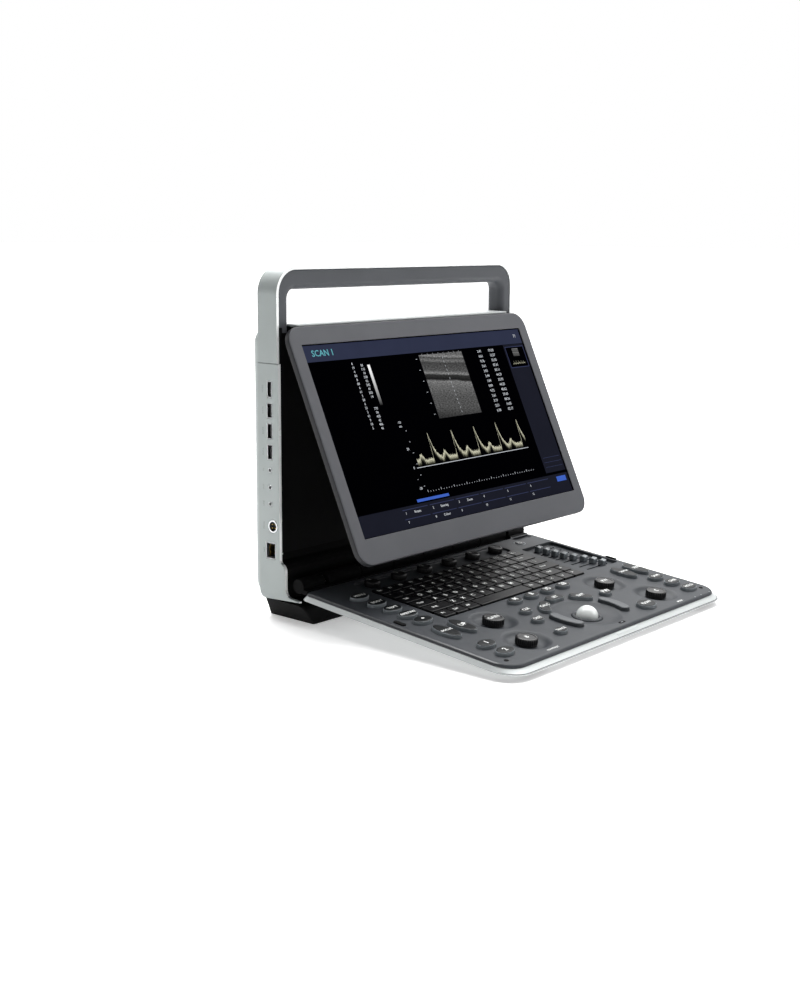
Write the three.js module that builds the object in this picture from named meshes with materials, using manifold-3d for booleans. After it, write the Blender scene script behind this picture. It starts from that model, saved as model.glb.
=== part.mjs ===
// A portable ultrasound scanner: an upright main unit with a carrying handle, a monitor that tilts on
// a hinge near its top edge, and a control panel that folds up in front of it.
// Millimetres. +X is the width, -Y faces the user, +Z is up. The origin is on the bottom of the foot.

import * as THREE from "three";
import { mergeVertices } from "three/addons/utils/BufferGeometryUtils.js";
import Module from "manifold-3d";

const wasm = await Module();
wasm.setup();

// ---- Driving dimensions ----

const GAP = 0.3; // space kept between pieces that are assembled touching
const WALL = 3; // thickness of the moulded walls
const CURVE_STEPS = 4; // segments in each rounded corner

const UNIT = { halfWidth: 185.1, front: 3.6, depth: 33, top: 345.7, cornerRadius: 26, back: 53, seam: 254.5 };
const BAND = { front: 5.2, back: 31.5 }; // the handle band is a little less deep than the sides
const SKIN = 3.2; // thickness of the silver side panels and of the handle band
const INNER = UNIT.halfWidth - SKIN - GAP; // half width between the silver skins

const CHEEK = { forward: -3.6, stepLow: 56, stepHigh: 63, lip: -23, lipTop: 26.2 };
const DECK = { bottom: 289, top: 291.5, front: -3.5 };
const GRIP = { halfOpening: 167, openingTop: 323.7, depth: 22, front: 5.8, round: 6, cornerRadius: 9 };
const RECESS = { floor: 10, wall: 2.2, low: 68, ledge: 60, front: -3.2, bottom: 25, top: 288.4 };
const COVER = { bottom: 21, top: 288.6, halfWidth: 183, cornerRadius: 15, inset: 34 };
const FOOT = { top: 21.5, front: -26, back: 37, backTop: 27, halfBottom: 167, halfTop: 183.5 };

const MONITOR = {
  tilt: THREE.MathUtils.degToRad(25),
  width: 373.5,
  height: 237.8,
  cornerRadius: 17,
  bezel: 6.5,
  lip: 1.5,
  thickness: 20,
  hinge: { y: -1.74, z: 274.05, down: 12, behind: 12 },
};
const SCREEN = { width: 344.2, height: 193.6, topMargin: 18.74, border: 2.5, topBorder: 1 };
const MONITOR_ROD = { radius: 2.5, bore: 2.8, halfLength: 150 };
const MONITOR_ARM = { inner: 112, outer: 124, radius: 5.5, thickness: 2.6 };
const PLATE_Y = RECESS.floor - GAP; // the hinge bracket stands on the recess floor

const VENT = { rows: 5, bottom: 202, pitch: 10, slot: 5, left: 60, right: 140 };
const INLET = { x: -118, z: 70, halfWidth: 13.5, halfHeight: 10 };
const POWER_BOX = { left: -148, right: -40, front: 24, back: 46, bottom: 46, top: 94 };
const BATTERY = { left: -20, right: 140, front: 25, back: 46, bottom: 46, top: 94 };
const FAN = { x: 100, z: 225, half: 27, front: 29, back: 44, bore: 25, blades: 7 };
const MAIN_BOARD = { halfWidth: 158, bottom: 96, top: 268, thickness: 1.6, standOff: 10, chip: 4 };
const CHIPS = [
  [-90, 220, 18],
  [0, 220, 18],
  [90, 220, 18],
  [-90, 150, 14],
  [0, 150, 22],
  [90, 150, 14],
]; // X, Z and half size of each

// Openings in the left panel, in Y and Z: [front, back, bottom, top].
const HDMI = [13, 19, 221.7, 237.3];
const USB = [
  [12.6, 19.4, 201.8, 216.2],
  [12.6, 19.4, 181.6, 196.5],
  [12.6, 19.4, 161.4, 176],
];
const LAN = [9.5, 22.5, 63.1, 79.1];
const JACKS = [150.8, 133.9, 117.6];
const ROUND_PORT = { y: 12.7, z: 95.7, radius: 6.6 };
const JACK = { y: 16, radius: 2.6 };
const PORT_STEPS = 8; // segments in a quarter of a round port
const PORT_BLOCK = { depth: 9, back: 23, bottom: 58, top: 242, wall: 0.8 };
const PROBE = { front: 12.4, back: 30, halfHeight: 36, depth: 11, recess: 8, frame: 2.2 };
const TONGUE = { halfWidth: 2, halfHeight: 26, sunk: 2 };
const PROBE_Z = { upper: 188, lower: 104 };

const PANEL = {
  slope: THREE.MathUtils.degToRad(5.36),
  height: 39.37, // of its top plane where that crosses the front of the unit
  halfWidth: 186.3,
  back: 25.5,
  front: 284.6,
  backRadius: 9,
  frontRadius: 25,
  rim: 3,
  cover: 3,
  shell: 10,
  floor: 1.5,
};
const PANEL_HINGE = { back: 16.886, above: 2.016, radius: 7.5, rod: 3, bore: 3.2 };
const PANEL_HINGE_Y = -17; // the same axis in the frame of the whole object
const PANEL_HINGE_Z = 39.8;
const BARREL_HALF = 146;
const KNUCKLE = { inner: 149.5, outer: 181 };
const BELLY = { halfTop: 132, halfMiddle: 112, halfBottom: 104, middle: 13.5, floor: 1.5 };
const BOARD = { top: -9.4, thickness: 1.6, halfWidth: 100, back: 70, front: 256 };

const KEYS = { left: -128.5, right: 106, back: 64, front: 159.5, rows: 6, gap: 1.7, top: 1.6 };
const KEY_MAT = { bottom: -4.9, thickness: 1.4 };
// Each row of the keyboard as key widths in units of one key; every row adds up to fifteen.
const KEY_ROWS = [
  Array(15).fill(1),
  [...Array(13).fill(1), 2],
  [1.5, ...Array(12).fill(1), 1.5],
  [1.8, ...Array(11).fill(1), 2.2],
  [2.3, ...Array(10).fill(1), 1.7, 1],
  [1.2, 1.2, 1.2, 5.4, 1.2, 1.2, 1.2, 1.2, 1.2],
];
const WELL = { left: 120, right: 176, back: 64.7, front: 155.5, depth: 4 };
const SLIDER = { count: 8, first: 74, pitch: 10.2, slotLeft: 131.5, slotRight: 170, slot: 2.6 };
const SLIDER_CAP = { length: 8, width: 6, top: 2.6 };
const SLIDER_AT = [140, 141, 143, 145, 149, 154, 157, 160]; // where each cap stands along its slot
const TROUGH = { left: -126, right: 108, back: 37, front: 61, depth: 2.2 };
const SMALL_KNOB = { count: 6, first: -110, pitch: 40.2, back: 50, radius: 8.2, height: 6.2 };
const LARGE_KNOB = { radius: 10.5, height: 7.3, bowl: 24, bowlFloor: 15, depth: 4.3, cup: 26 };
const LARGE_KNOB_AT = [
  ["gain_knob_upper_left", -95, 190.5],
  ["gain_knob_lower_left", -112.5, 242],
  ["mode_knob_upper_right", 95, 190.5],
  ["mode_knob_lower_right", 112.5, 242],
];
const BALL = { radius: 11, sink: 4.2, v: 233, ring: 15.2, dish: 34, dishDepth: 4.2, boss: 36 };
const BALL_RING = { bottom: -6.6, shoulder: -3.6, top: -2.9, bevel: 1.8 };
const BUTTON = { top: 3.2, web: 1.2, webTop: -4, clearance: 0.45 };
const POWER = { u: 138.5, v: 48.7, radius: 5.6, bottom: -5.2, top: 1.2 };
const LATCH = { halfWidth: 18.5, top: -1.5, bottom: -8, depth: 2.6, proud: 0.6 };

const STRIP_HALF_LENGTH = 95;
const BUTTON_STEPS = 4; // segments in half of a button's outline

const COLORS = {
  silver: 0xa9b1b0,
  paleSilver: 0xd9dcdc,
  grip: 0x5a5c5f,
  black: 0x101011,
  bezel: 0x66676a,
  cover: 0x55585c,
  key: 0x0d0d0e,
  button: 0x232b2f,
  bar: 0x3a3f42,
  ball: 0xd6dad8,
  steel: 0xb8b8ba,
  board: 0x1d4a2e,
  screen: 0x05060a,
  rubber: 0x1a1a1a,
};

// ---- Working with solids ----

// A closed geometry with shared corners and no triangle of zero area.
function weld(geometry) {
  const bare = geometry.clone();
  bare.deleteAttribute("normal");
  bare.deleteAttribute("uv");
  const merged = mergeVertices(bare, 1e-4);
  const index = [];
  const old = merged.index.array;
  for (let i = 0; i < old.length; i += 3) {
    const [a, b, c] = [old[i], old[i + 1], old[i + 2]];
    if (a !== b && b !== c && c !== a) index.push(a, b, c);
  }
  merged.setIndex(index);
  return merged;
}

function solid(geometry) {
  const welded = weld(geometry);
  return new wasm.Manifold(
    new wasm.Mesh({
      numProp: 3,
      vertProperties: new Float32Array(welded.attributes.position.array),
      triVerts: new Uint32Array(welded.index.array),
    }),
  );
}

function geometryOf(manifold) {
  const mesh = manifold.getMesh();
  const geometry = new THREE.BufferGeometry();
  geometry.setAttribute("position", new THREE.BufferAttribute(new Float32Array(mesh.vertProperties), 3));
  geometry.setIndex(new THREE.BufferAttribute(new Uint32Array(mesh.triVerts), 1));
  geometry.computeVertexNormals();
  return geometry;
}

function joined(first, ...others) {
  return geometryOf(others.reduce((whole, next) => whole.add(solid(next)), solid(first)));
}

function cut(base, ...tools) {
  return geometryOf(tools.reduce((whole, next) => whole.subtract(solid(next)), solid(base)));
}

function common(first, second) {
  return geometryOf(solid(first).intersect(solid(second)));
}

function moved(geometry, x, y, z) {
  return geometry.clone().translate(x, y, z);
}

// A box from its lowest and highest corner.
function block(x0, x1, y0, y1, z0, z1) {
  const box = new THREE.BoxGeometry(x1 - x0, y1 - y0, z1 - z0);
  return box.translate((x0 + x1) / 2, (y0 + y1) / 2, (z0 + z1) / 2);
}

// ---- Outlines ----

function shapeOf(points) {
  return new THREE.Shape(points.map(([x, y]) => new THREE.Vector2(x, y)));
}

// A rectangle whose corners can each have a radius: bottom left, bottom right, top right, top left.
function roundedRectangle(x0, x1, y0, y1, radii) {
  const [bl, br, tr, tl] = typeof radii === "number" ? [radii, radii, radii, radii] : radii;
  const shape = new THREE.Shape();
  shape.moveTo(x0 + bl, y0);
  shape.lineTo(x1 - br, y0);
  if (br > 0) shape.absarc(x1 - br, y0 + br, br, -Math.PI / 2, 0);
  shape.lineTo(x1, y1 - tr);
  if (tr > 0) shape.absarc(x1 - tr, y1 - tr, tr, 0, Math.PI / 2);
  shape.lineTo(x0 + tl, y1);
  if (tl > 0) shape.absarc(x0 + tl, y1 - tl, tl, Math.PI / 2, Math.PI);
  shape.lineTo(x0, y0 + bl);
  if (bl > 0) shape.absarc(x0 + bl, y0 + bl, bl, Math.PI, Math.PI * 1.5);
  return shape;
}

function ellipse(cx, cy, rx, ry) {
  const shape = new THREE.Shape();
  shape.absellipse(cx, cy, rx, ry, 0, Math.PI * 2, false, 0);
  return shape;
}

// ---- Extrusions along each axis ----

function upward(shape, z0, z1, steps = CURVE_STEPS) {
  const options = { depth: z1 - z0, bevelEnabled: false, curveSegments: steps };
  return new THREE.ExtrudeGeometry(shape, options).translate(0, 0, z0);
}

// The shape is drawn in Y and Z.
function across(shape, x0, x1, steps = CURVE_STEPS) {
  const basis = new THREE.Matrix4().makeBasis(
    new THREE.Vector3(0, 1, 0),
    new THREE.Vector3(0, 0, 1),
    new THREE.Vector3(1, 0, 0),
  );
  return upward(shape, x0, x1, steps).applyMatrix4(basis);
}

// The shape is drawn in X and Z.
function backward(shape, y0, y1, steps = CURVE_STEPS) {
  return upward(shape, 0, y1 - y0, steps).rotateX(Math.PI / 2).translate(0, y1, 0);
}

// A closed body through outlines with the same number of points, each at its own depth along Y.
function loftBackward(sections, steps) {
  const distinct = (p, i, all) => p.distanceTo(all[(i + 1) % all.length]) > 1e-3;
  const rings = sections.map(({ outline, y }) => {
    const points = outline.getPoints(steps).filter(distinct);
    return points.map((p) => [p.x, y, p.y]);
  });
  const count = rings[0].length;
  const positions = rings.flat(2);
  const index = [];
  for (let r = 0; r + 1 < rings.length; r++) {
    for (let i = 0; i < count; i++) {
      const j = (i + 1) % count;
      const [a, b] = [r * count + i, r * count + j];
      index.push(a, a + count, b, b, a + count, b + count);
    }
  }
  const last = (rings.length - 1) * count;
  for (let i = 1; i + 1 < count; i++) {
    index.push(0, i, i + 1);
    index.push(last, last + i + 1, last + i);
  }
  const geometry = new THREE.BufferGeometry();
  geometry.setAttribute("position", new THREE.Float32BufferAttribute(positions, 3));
  geometry.setIndex(index);
  return geometry;
}

// A turned body about +Z: the profile is [radius, height] from the axis back to the axis.
function turned(profile, segments) {
  const points = profile.map(([radius, height]) => new THREE.Vector2(radius, height));
  return new THREE.LatheGeometry(points, segments).rotateX(Math.PI / 2);
}

function cylinder(radius, z0, z1, segments = 24) {
  const upright = new THREE.CylinderGeometry(radius, radius, z1 - z0, segments).rotateX(Math.PI / 2);
  return upright.translate(0, 0, (z0 + z1) / 2);
}

function rod(radius, x0, x1, y, z, segments = 20) {
  const level = new THREE.CylinderGeometry(radius, radius, x1 - x0, segments).rotateZ(Math.PI / 2);
  return level.translate((x0 + x1) / 2, y, z);
}

// ---- The assembly ----

const scanner = new THREE.Group();

function piece(parent, name, geometry, color, roughness = 0.5, metalness = 0) {
  const material = new THREE.MeshStandardMaterial({ color, roughness, metalness });
  const mesh = new THREE.Mesh(weld(geometry), material);
  mesh.name = name;
  parent.add(mesh);
  return mesh;
}

// ---- Main unit ----

// The outline of a silver side panel, in Y and Z, with its stepped front cheek and the lip under the hinge.
function sidePanelOutline() {
  const back = UNIT.depth - GAP;
  const shape = new THREE.Shape();
  shape.moveTo(UNIT.front, UNIT.seam - GAP);
  shape.lineTo(UNIT.front, CHEEK.stepHigh);
  shape.bezierCurveTo(UNIT.front, 59, CHEEK.forward, 60, CHEEK.forward, CHEEK.stepLow - 4);
  shape.lineTo(CHEEK.forward, 36);
  shape.quadraticCurveTo(CHEEK.forward, 28, -11, CHEEK.lipTop + 1);
  shape.lineTo(CHEEK.lip, CHEEK.lipTop);
  shape.lineTo(CHEEK.lip, CHEEK.lipTop - 1.4);
  shape.lineTo(back - 9, 22);
  shape.quadraticCurveTo(back, 22, back, 31);
  shape.lineTo(back, UNIT.seam - GAP);
  return shape;
}

function leftSidePanel() {
  const shape = sidePanelOutline();
  for (const [y0, y1, z0, z1] of [HDMI, ...USB, LAN]) {
    shape.holes.push(roundedRectangle(y0 - GAP, y1 + GAP, z0 - GAP, z1 + GAP, 0));
  }
  for (const z of JACKS) shape.holes.push(ellipse(JACK.y, z, JACK.radius, JACK.radius));
  shape.holes.push(ellipse(ROUND_PORT.y, ROUND_PORT.z, ROUND_PORT.radius, ROUND_PORT.radius));
  return across(shape, -UNIT.halfWidth, -UNIT.halfWidth + SKIN, PORT_STEPS);
}

function rightSidePanel() {
  const shape = sidePanelOutline();
  const reach = PROBE.halfHeight + GAP;
  for (const z of Object.values(PROBE_Z)) {
    shape.holes.push(roundedRectangle(PROBE.front - GAP, PROBE.back + GAP, z - reach, z + reach, 0));
  }
  return across(shape, UNIT.halfWidth - SKIN, UNIT.halfWidth);
}

function probeSocket(z) {
  const face = UNIT.halfWidth - 0.5;
  const { front, back, halfHeight, frame, recess, depth } = PROBE;
  const body = block(face - depth, face, front, back, z - halfHeight, z + halfHeight);
  const inside = halfHeight - frame;
  const pocket = block(face - recess, face + 1, front + frame, back - frame, z - inside, z + inside);
  const middle = (front + back) / 2;
  const [y0, y1] = [middle - TONGUE.halfWidth, middle + TONGUE.halfWidth];
  const [z0, z1] = [z - TONGUE.halfHeight, z + TONGUE.halfHeight];
  const tongue = block(face - recess - 1, face - TONGUE.sunk, y0, y1, z0, z1);
  return joined(cut(body, pocket), tongue);
}

// Every connector of the left side stands on one upright strip behind the panel.
function sidePortBlock() {
  const face = -UNIT.halfWidth + 0.4;
  const strip = -UNIT.halfWidth + SKIN + GAP;
  const deep = strip + PORT_BLOCK.depth;
  const front = RECESS.floor + RECESS.wall + GAP;
  const { back, bottom, top, wall } = PORT_BLOCK;
  let body = solid(block(strip, strip + 2.5, front, back, bottom, top));
  for (const [y0, y1, z0, z1] of [HDMI, ...USB]) {
    body = body.add(solid(block(face, deep + 1.5, y0, y1, z0, z1)));
    body = body.subtract(solid(block(face - 1, deep, y0 + wall, y1 - wall, z0 + wall, z1 - wall)));
  }
  const [y0, y1, z0, z1] = LAN;
  body = body.add(solid(block(face, strip - 2 * GAP, y0, y1, z0, z1)));
  body = body.add(solid(block(face, deep + 1.5, front, y1, z0, z1)));
  body = body.subtract(solid(block(face - 1, deep, front + wall, y1 - 1.2, z0 + 2, z1 - 2)));
  for (const z of JACKS) {
    body = body.add(solid(rod(JACK.radius - GAP, face, strip + 1, JACK.y, z, 16)));
    body = body.subtract(solid(rod(1.3, face - 1, strip + 1, JACK.y, z, 12)));
  }
  const { y, z, radius } = ROUND_PORT;
  body = body.add(solid(rod(radius - GAP, face, strip - 2 * GAP, y, z, 24)));
  body = body.add(solid(block(face + 1, strip + 1, front + 0.5, y + 4, z - 3, z + 3)));
  return geometryOf(body);
}

// The silver band over the top of the unit, with the deck that closes the body under the handle.
function handleBand() {
  const { halfWidth, top, cornerRadius, seam } = UNIT;
  const outer = roundedRectangle(-halfWidth, halfWidth, seam, top, [0, 0, cornerRadius, cornerRadius]);
  const inside = halfWidth - SKIN;
  const innerRadius = cornerRadius - SKIN;
  const inner = roundedRectangle(-inside, inside, seam - 1, top - SKIN, [0, 0, innerRadius, innerRadius]);
  const { front, back } = BAND;
  const band = cut(backward(outer, front, back), backward(inner, front - 1, back + 1));
  const deck = block(-inside - 0.5, inside + 0.5, front + 0.2, back, DECK.bottom, DECK.top);
  const reach = GRIP.halfOpening - 3;
  const lip = block(-reach, reach, DECK.front, front + 1, DECK.bottom, DECK.top);
  return joined(band, deck, lip);
}

// The dark hand grip inside the band: two posts and a bar with rounded edges.
function handleGrip() {
  const outside = UNIT.halfWidth - SKIN - GAP;
  const top = UNIT.top - SKIN - GAP;
  const radius = UNIT.cornerRadius - SKIN - GAP;
  const base = DECK.top + GAP;
  const { halfOpening, openingTop, depth, front, round, cornerRadius } = GRIP;
  const shape = new THREE.Shape();
  shape.moveTo(-outside, base);
  shape.lineTo(-halfOpening, base);
  shape.lineTo(-halfOpening, openingTop - cornerRadius);
  const [cornerX, cornerZ] = [halfOpening - cornerRadius, openingTop - cornerRadius];
  shape.absarc(-cornerX, cornerZ, cornerRadius, Math.PI, Math.PI / 2, true);
  shape.lineTo(cornerX, openingTop);
  shape.absarc(cornerX, cornerZ, cornerRadius, Math.PI / 2, 0, true);
  shape.lineTo(halfOpening, base);
  shape.lineTo(outside, base);
  shape.lineTo(outside, top - radius);
  shape.absarc(outside - radius, top - radius, radius, 0, Math.PI / 2);
  shape.lineTo(-outside + radius, top);
  shape.absarc(-outside + radius, top - radius, radius, Math.PI / 2, Math.PI);
  const bar = new THREE.ExtrudeGeometry(shape, {
    depth: depth - 2 * round,
    curveSegments: CURVE_STEPS,
    bevelEnabled: true,
    bevelThickness: round,
    bevelSize: round,
    bevelOffset: -round,
    bevelSegments: 2,
  });
  return bar.rotateX(Math.PI / 2).translate(0, front + depth - round, 0);
}

// The black front wall: a recess for the monitor, and a ledge that comes forward over the panel hinge.
function frontHousing() {
  const { floor, wall, low, ledge, front, bottom, top } = RECESS;
  const profile = shapeOf([
    [floor, top],
    [floor, low],
    [floor - 3, ledge + 2],
    [floor - 8, ledge],
    [front + 3, ledge - 1],
    [front, ledge - 5],
    [front, bottom],
    [front + wall, bottom],
    [front + wall, ledge - 6],
    [front + 4, ledge - 4],
    [floor - 7, ledge - 3],
    [floor + wall - 3, ledge - 1],
    [floor + wall, low - 2],
    [floor + wall, top],
  ]);
  const rim = [-INNER, INNER - WALL].map((x) => {
    return block(x, x + WALL, UNIT.front + 0.8, floor + 1, low + 2, top);
  });
  return joined(across(profile, -INNER, INNER), ...rim);
}

// The back cover: a shell that bulges backward, with vents and an opening for the power inlet.
function rearCover() {
  const { bottom, top, halfWidth, cornerRadius, inset } = COVER;
  const section = (shrink, y) => ({
    outline: roundedRectangle(
      -halfWidth + shrink,
      halfWidth - shrink,
      bottom + shrink,
      top - shrink,
      Math.max(cornerRadius - shrink / 2, 6),
    ),
    y,
  });
  const bulge = (offset, end) => {
    const sections = [];
    for (const part of [0, 1 / 4, 1 / 2, 3 / 4, 1]) {
      const angle = (part * Math.PI) / 2;
      const y = UNIT.depth + (end - UNIT.depth) * Math.sin(angle);
      sections.push(section(offset + inset * (1 - Math.cos(angle)), y));
    }
    return sections;
  };
  const outer = loftBackward(bulge(0, UNIT.back), CURVE_STEPS);
  const inner = loftBackward([section(WALL, UNIT.depth - 1), ...bulge(WALL, UNIT.back - WALL)], CURVE_STEPS);
  const slots = [];
  for (let row = 0; row < VENT.rows; row++) {
    const z = VENT.bottom + row * VENT.pitch;
    slots.push(block(VENT.left, VENT.right, UNIT.back - 8, UNIT.back + 1, z, z + VENT.slot));
    slots.push(block(-VENT.right, -VENT.left, UNIT.back - 8, UNIT.back + 1, z, z + VENT.slot));
  }
  const { x, z, halfWidth: inletWidth, halfHeight } = INLET;
  const hole = block(
    x - inletWidth - GAP,
    x + inletWidth + GAP,
    UNIT.back - 8,
    UNIT.back + 1,
    z - halfHeight - GAP,
    z + halfHeight + GAP,
  );
  return cut(outer, inner, ...slots, hole);
}

// The foot under the unit: a black block that narrows to the floor, with a rounded front edge.
function baseFoot() {
  const { top, front, back, backTop, halfBottom, halfTop } = FOOT;
  const sides = shapeOf([
    [-halfBottom, 0],
    [halfBottom, 0],
    [halfTop, top],
    [-halfTop, top],
  ]);
  const profile = new THREE.Shape();
  profile.moveTo(back, 0);
  profile.lineTo(backTop, top);
  profile.lineTo(front + 6, top);
  profile.quadraticCurveTo(front, top, front, top - 6);
  profile.lineTo(front, 9);
  profile.quadraticCurveTo(front, 0, front + 9, 0);
  return common(backward(sides, front - 1, back + 1), across(profile, -halfTop - 1, halfTop + 1));
}

function mainBoard() {
  const { halfWidth, bottom, top, thickness, standOff, chip } = MAIN_BOARD;
  const front = RECESS.floor + RECESS.wall + standOff;
  const back = front + thickness;
  const board = block(-halfWidth, halfWidth, front, back, bottom, top);
  const chips = CHIPS.map(([x, z, half]) => {
    return block(x - half, x + half, front + thickness / 2, front + 1 + chip, z - half, z + half);
  });
  return joined(board, ...chips);
}

// The power supply, with the mains inlet that reaches through the back cover.
function powerSupply() {
  const { x, z, halfWidth, halfHeight } = INLET;
  const { left, right, front, back, bottom, top } = POWER_BOX;
  const box = block(left, right, front, back, bottom, top);
  const inletEnd = UNIT.back - 0.6;
  const inlet = block(x - halfWidth, x + halfWidth, back - 2, inletEnd, z - halfHeight, z + halfHeight);
  const socket = block(x - 11.5, x + 11.5, UNIT.back - 8, UNIT.back + 1, z - 7, z + 7);
  return cut(joined(box, inlet), socket);
}

function batteryPack() {
  const { left, right, front, back, bottom, top } = BATTERY;
  return block(left, right, front, back, bottom, top);
}

function fanHousing() {
  const { x, z, half, front, back, bore } = FAN;
  const frame = block(x - half, x + half, front, back, z - half, z + half);
  const tunnel = cylinder(bore, -1, back - front + 1, 24).rotateX(Math.PI / 2);
  const hub = cylinder(5, 0, 2, 16).rotateX(Math.PI / 2);
  const strut = block(x - bore - 1, x + bore + 1, back - 2, back, z - 1.5, z + 1.5);
  return joined(cut(frame, moved(tunnel, x, back, z)), moved(hub, x, back, z), strut);
}

function fanRotor() {
  const { x, z, front, back, bore, blades } = FAN;
  const end = back - 2 - 2 * GAP;
  const length = end - front - 1;
  let rotor = solid(cylinder(9, 0, length, 18));
  for (let i = 0; i < blades; i++) {
    const blade = new THREE.BoxGeometry(bore - 2 - 7, 1.4, length - 2);
    blade.rotateX(0.5).translate(7 + (bore - 9) / 2, 0, length / 2);
    rotor = rotor.add(solid(blade.rotateZ((i * Math.PI * 2) / blades)));
  }
  return geometryOf(rotor).rotateX(Math.PI / 2).translate(x, end, z);
}

function panelHingeBarrel() {
  const tube = rod(PANEL_HINGE.radius, -BARREL_HALF, BARREL_HALF, PANEL_HINGE_Y, PANEL_HINGE_Z, 24);
  const web = block(-BARREL_HALF, BARREL_HALF, PANEL_HINGE_Y + 5, RECESS.front - GAP, 35, 44.5);
  const bore = rod(PANEL_HINGE.bore, -KNUCKLE.outer, KNUCKLE.outer, PANEL_HINGE_Y, PANEL_HINGE_Z);
  return cut(joined(tube, web), bore);
}

// The bracket on the recess floor: two arms that carry the monitor's rod, joined by a strip.
function monitorHingeBracket() {
  const { hinge } = MONITOR;
  const { inner, outer, radius, thickness } = MONITOR_ARM;
  const strip = block(-outer, outer, PLATE_Y - 1.4, PLATE_Y, hinge.z - 4, hinge.z + 7);
  const arms = [];
  for (const side of [-1, 1]) {
    const x0 = Math.min(side * inner, side * outer);
    const x1 = Math.max(side * inner, side * outer);
    arms.push(rod(radius, x0, x1, hinge.y, hinge.z, 20));
    arms.push(block(x0, x1, hinge.y, PLATE_Y, hinge.z - thickness, hinge.z + thickness));
  }
  const bore = rod(MONITOR_ROD.bore, -outer - 1, outer + 1, hinge.y, hinge.z);
  return cut(joined(strip, ...arms), bore);
}

piece(scanner, "left_side_panel", leftSidePanel(), COLORS.silver, 0.45, 0.2);
piece(scanner, "right_side_panel", rightSidePanel(), COLORS.silver, 0.45, 0.2);
piece(scanner, "handle_band", handleBand(), COLORS.paleSilver, 0.4, 0.2);
piece(scanner, "handle_grip", handleGrip(), COLORS.grip, 0.6);
piece(scanner, "front_housing", frontHousing(), COLORS.black, 0.7);
piece(scanner, "rear_cover", rearCover(), COLORS.silver, 0.5, 0.1);
piece(scanner, "base_foot", baseFoot(), COLORS.rubber, 0.8);
piece(scanner, "side_port_block", sidePortBlock(), COLORS.black, 0.5);
piece(scanner, "probe_socket_upper", probeSocket(PROBE_Z.upper), COLORS.black, 0.5);
piece(scanner, "probe_socket_lower", probeSocket(PROBE_Z.lower), COLORS.black, 0.5);
piece(scanner, "main_board", mainBoard(), COLORS.board, 0.6);
piece(scanner, "power_supply", powerSupply(), COLORS.black, 0.5);
piece(scanner, "battery_pack", batteryPack(), COLORS.black, 0.6);
piece(scanner, "fan_housing", fanHousing(), COLORS.black, 0.6);
piece(scanner, "fan_rotor", fanRotor(), COLORS.black, 0.6);
piece(scanner, "panel_hinge_barrel", panelHingeBarrel(), COLORS.black, 0.5);
piece(
  scanner,
  "panel_hinge_rod",
  rod(PANEL_HINGE.rod, -KNUCKLE.outer + 0.5, KNUCKLE.outer - 0.5, PANEL_HINGE_Y, PANEL_HINGE_Z),
  COLORS.steel,
  0.3,
  1,
);
piece(scanner, "monitor_hinge_bracket", monitorHingeBracket(), COLORS.steel, 0.4, 1);

function monitorHingeRod() {
  const { radius, halfLength } = MONITOR_ROD;
  return rod(radius, -halfLength, halfLength, MONITOR.hinge.y, MONITOR.hinge.z, 16);
}

piece(scanner, "monitor_hinge_rod", monitorHingeRod(), COLORS.steel, 0.3, 1);

// ---- Monitor: drawn closed and upright about its hinge axis, then tilted ----

const monitor = new THREE.Group();
monitor.position.set(0, MONITOR.hinge.y, MONITOR.hinge.z);
monitor.rotation.x = -MONITOR.tilt;
scanner.add(monitor);

const BEZEL_TOP = MONITOR.hinge.down;
const BEZEL_BOTTOM = BEZEL_TOP - MONITOR.height;
const FACE = -MONITOR.hinge.behind;
const BEZEL_BACK = FACE + MONITOR.bezel;
const SCREEN_TOP = BEZEL_TOP - SCREEN.topMargin;
const SCREEN_BOTTOM = SCREEN_TOP - SCREEN.height;

// The lit area of the screen, with a border round it that is narrower above.
function screenOutline(border, topBorder) {
  const half = SCREEN.width / 2 + border;
  return roundedRectangle(-half, half, SCREEN_BOTTOM - border, SCREEN_TOP + topBorder, 0);
}

function monitorBezel() {
  const half = MONITOR.width / 2;
  const outline = roundedRectangle(-half, half, BEZEL_BOTTOM, BEZEL_TOP, MONITOR.cornerRadius);
  outline.holes.push(screenOutline(0, 0));
  const frame = backward(outline, FACE, BEZEL_BACK);
  const rebate = screenOutline(SCREEN.border + GAP, SCREEN.topBorder + GAP);
  return cut(frame, backward(rebate, FACE + MONITOR.lip, BEZEL_BACK + 1));
}

// The monitor's back cover: a shallow tray under a solid strip that carries the hinge rod.
function monitorBackCover() {
  const side = MONITOR.width / 2 - 10;
  const top = BEZEL_TOP - 5;
  const bottom = BEZEL_BOTTOM + 16;
  const front = BEZEL_BACK + GAP;
  const back = FACE + MONITOR.thickness;
  const outline = (shrink) => {
    return roundedRectangle(-side + shrink, side - shrink, bottom + shrink, top - shrink / 3, 12);
  };
  const body = loftBackward(
    [
      { outline: outline(0), y: front },
      { outline: outline(1), y: back - 5 },
      { outline: outline(6), y: back },
    ],
    CURVE_STEPS,
  );
  const tray = block(-side + 9, side - 9, front - 1, back - 2, bottom + 9, -11);
  const notches = [-1, 1].map((hand) => {
    const x0 = Math.min(hand * (MONITOR_ARM.inner - 1), hand * (MONITOR_ARM.outer + 1));
    const x1 = Math.max(hand * (MONITOR_ARM.inner - 1), hand * (MONITOR_ARM.outer + 1));
    return joined(
      block(x0, x1, 0, back + 1, -MONITOR_ARM.radius - 1.5, top + 1),
      rod(MONITOR_ARM.radius + 0.5, x0, x1, 0, 0, 20),
    );
  });
  const bore = rod(MONITOR_ROD.bore, -MONITOR_ROD.halfLength - 1, MONITOR_ROD.halfLength + 1, 0, 0, 16);
  return cut(body, tray, ...notches, bore);
}

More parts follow.
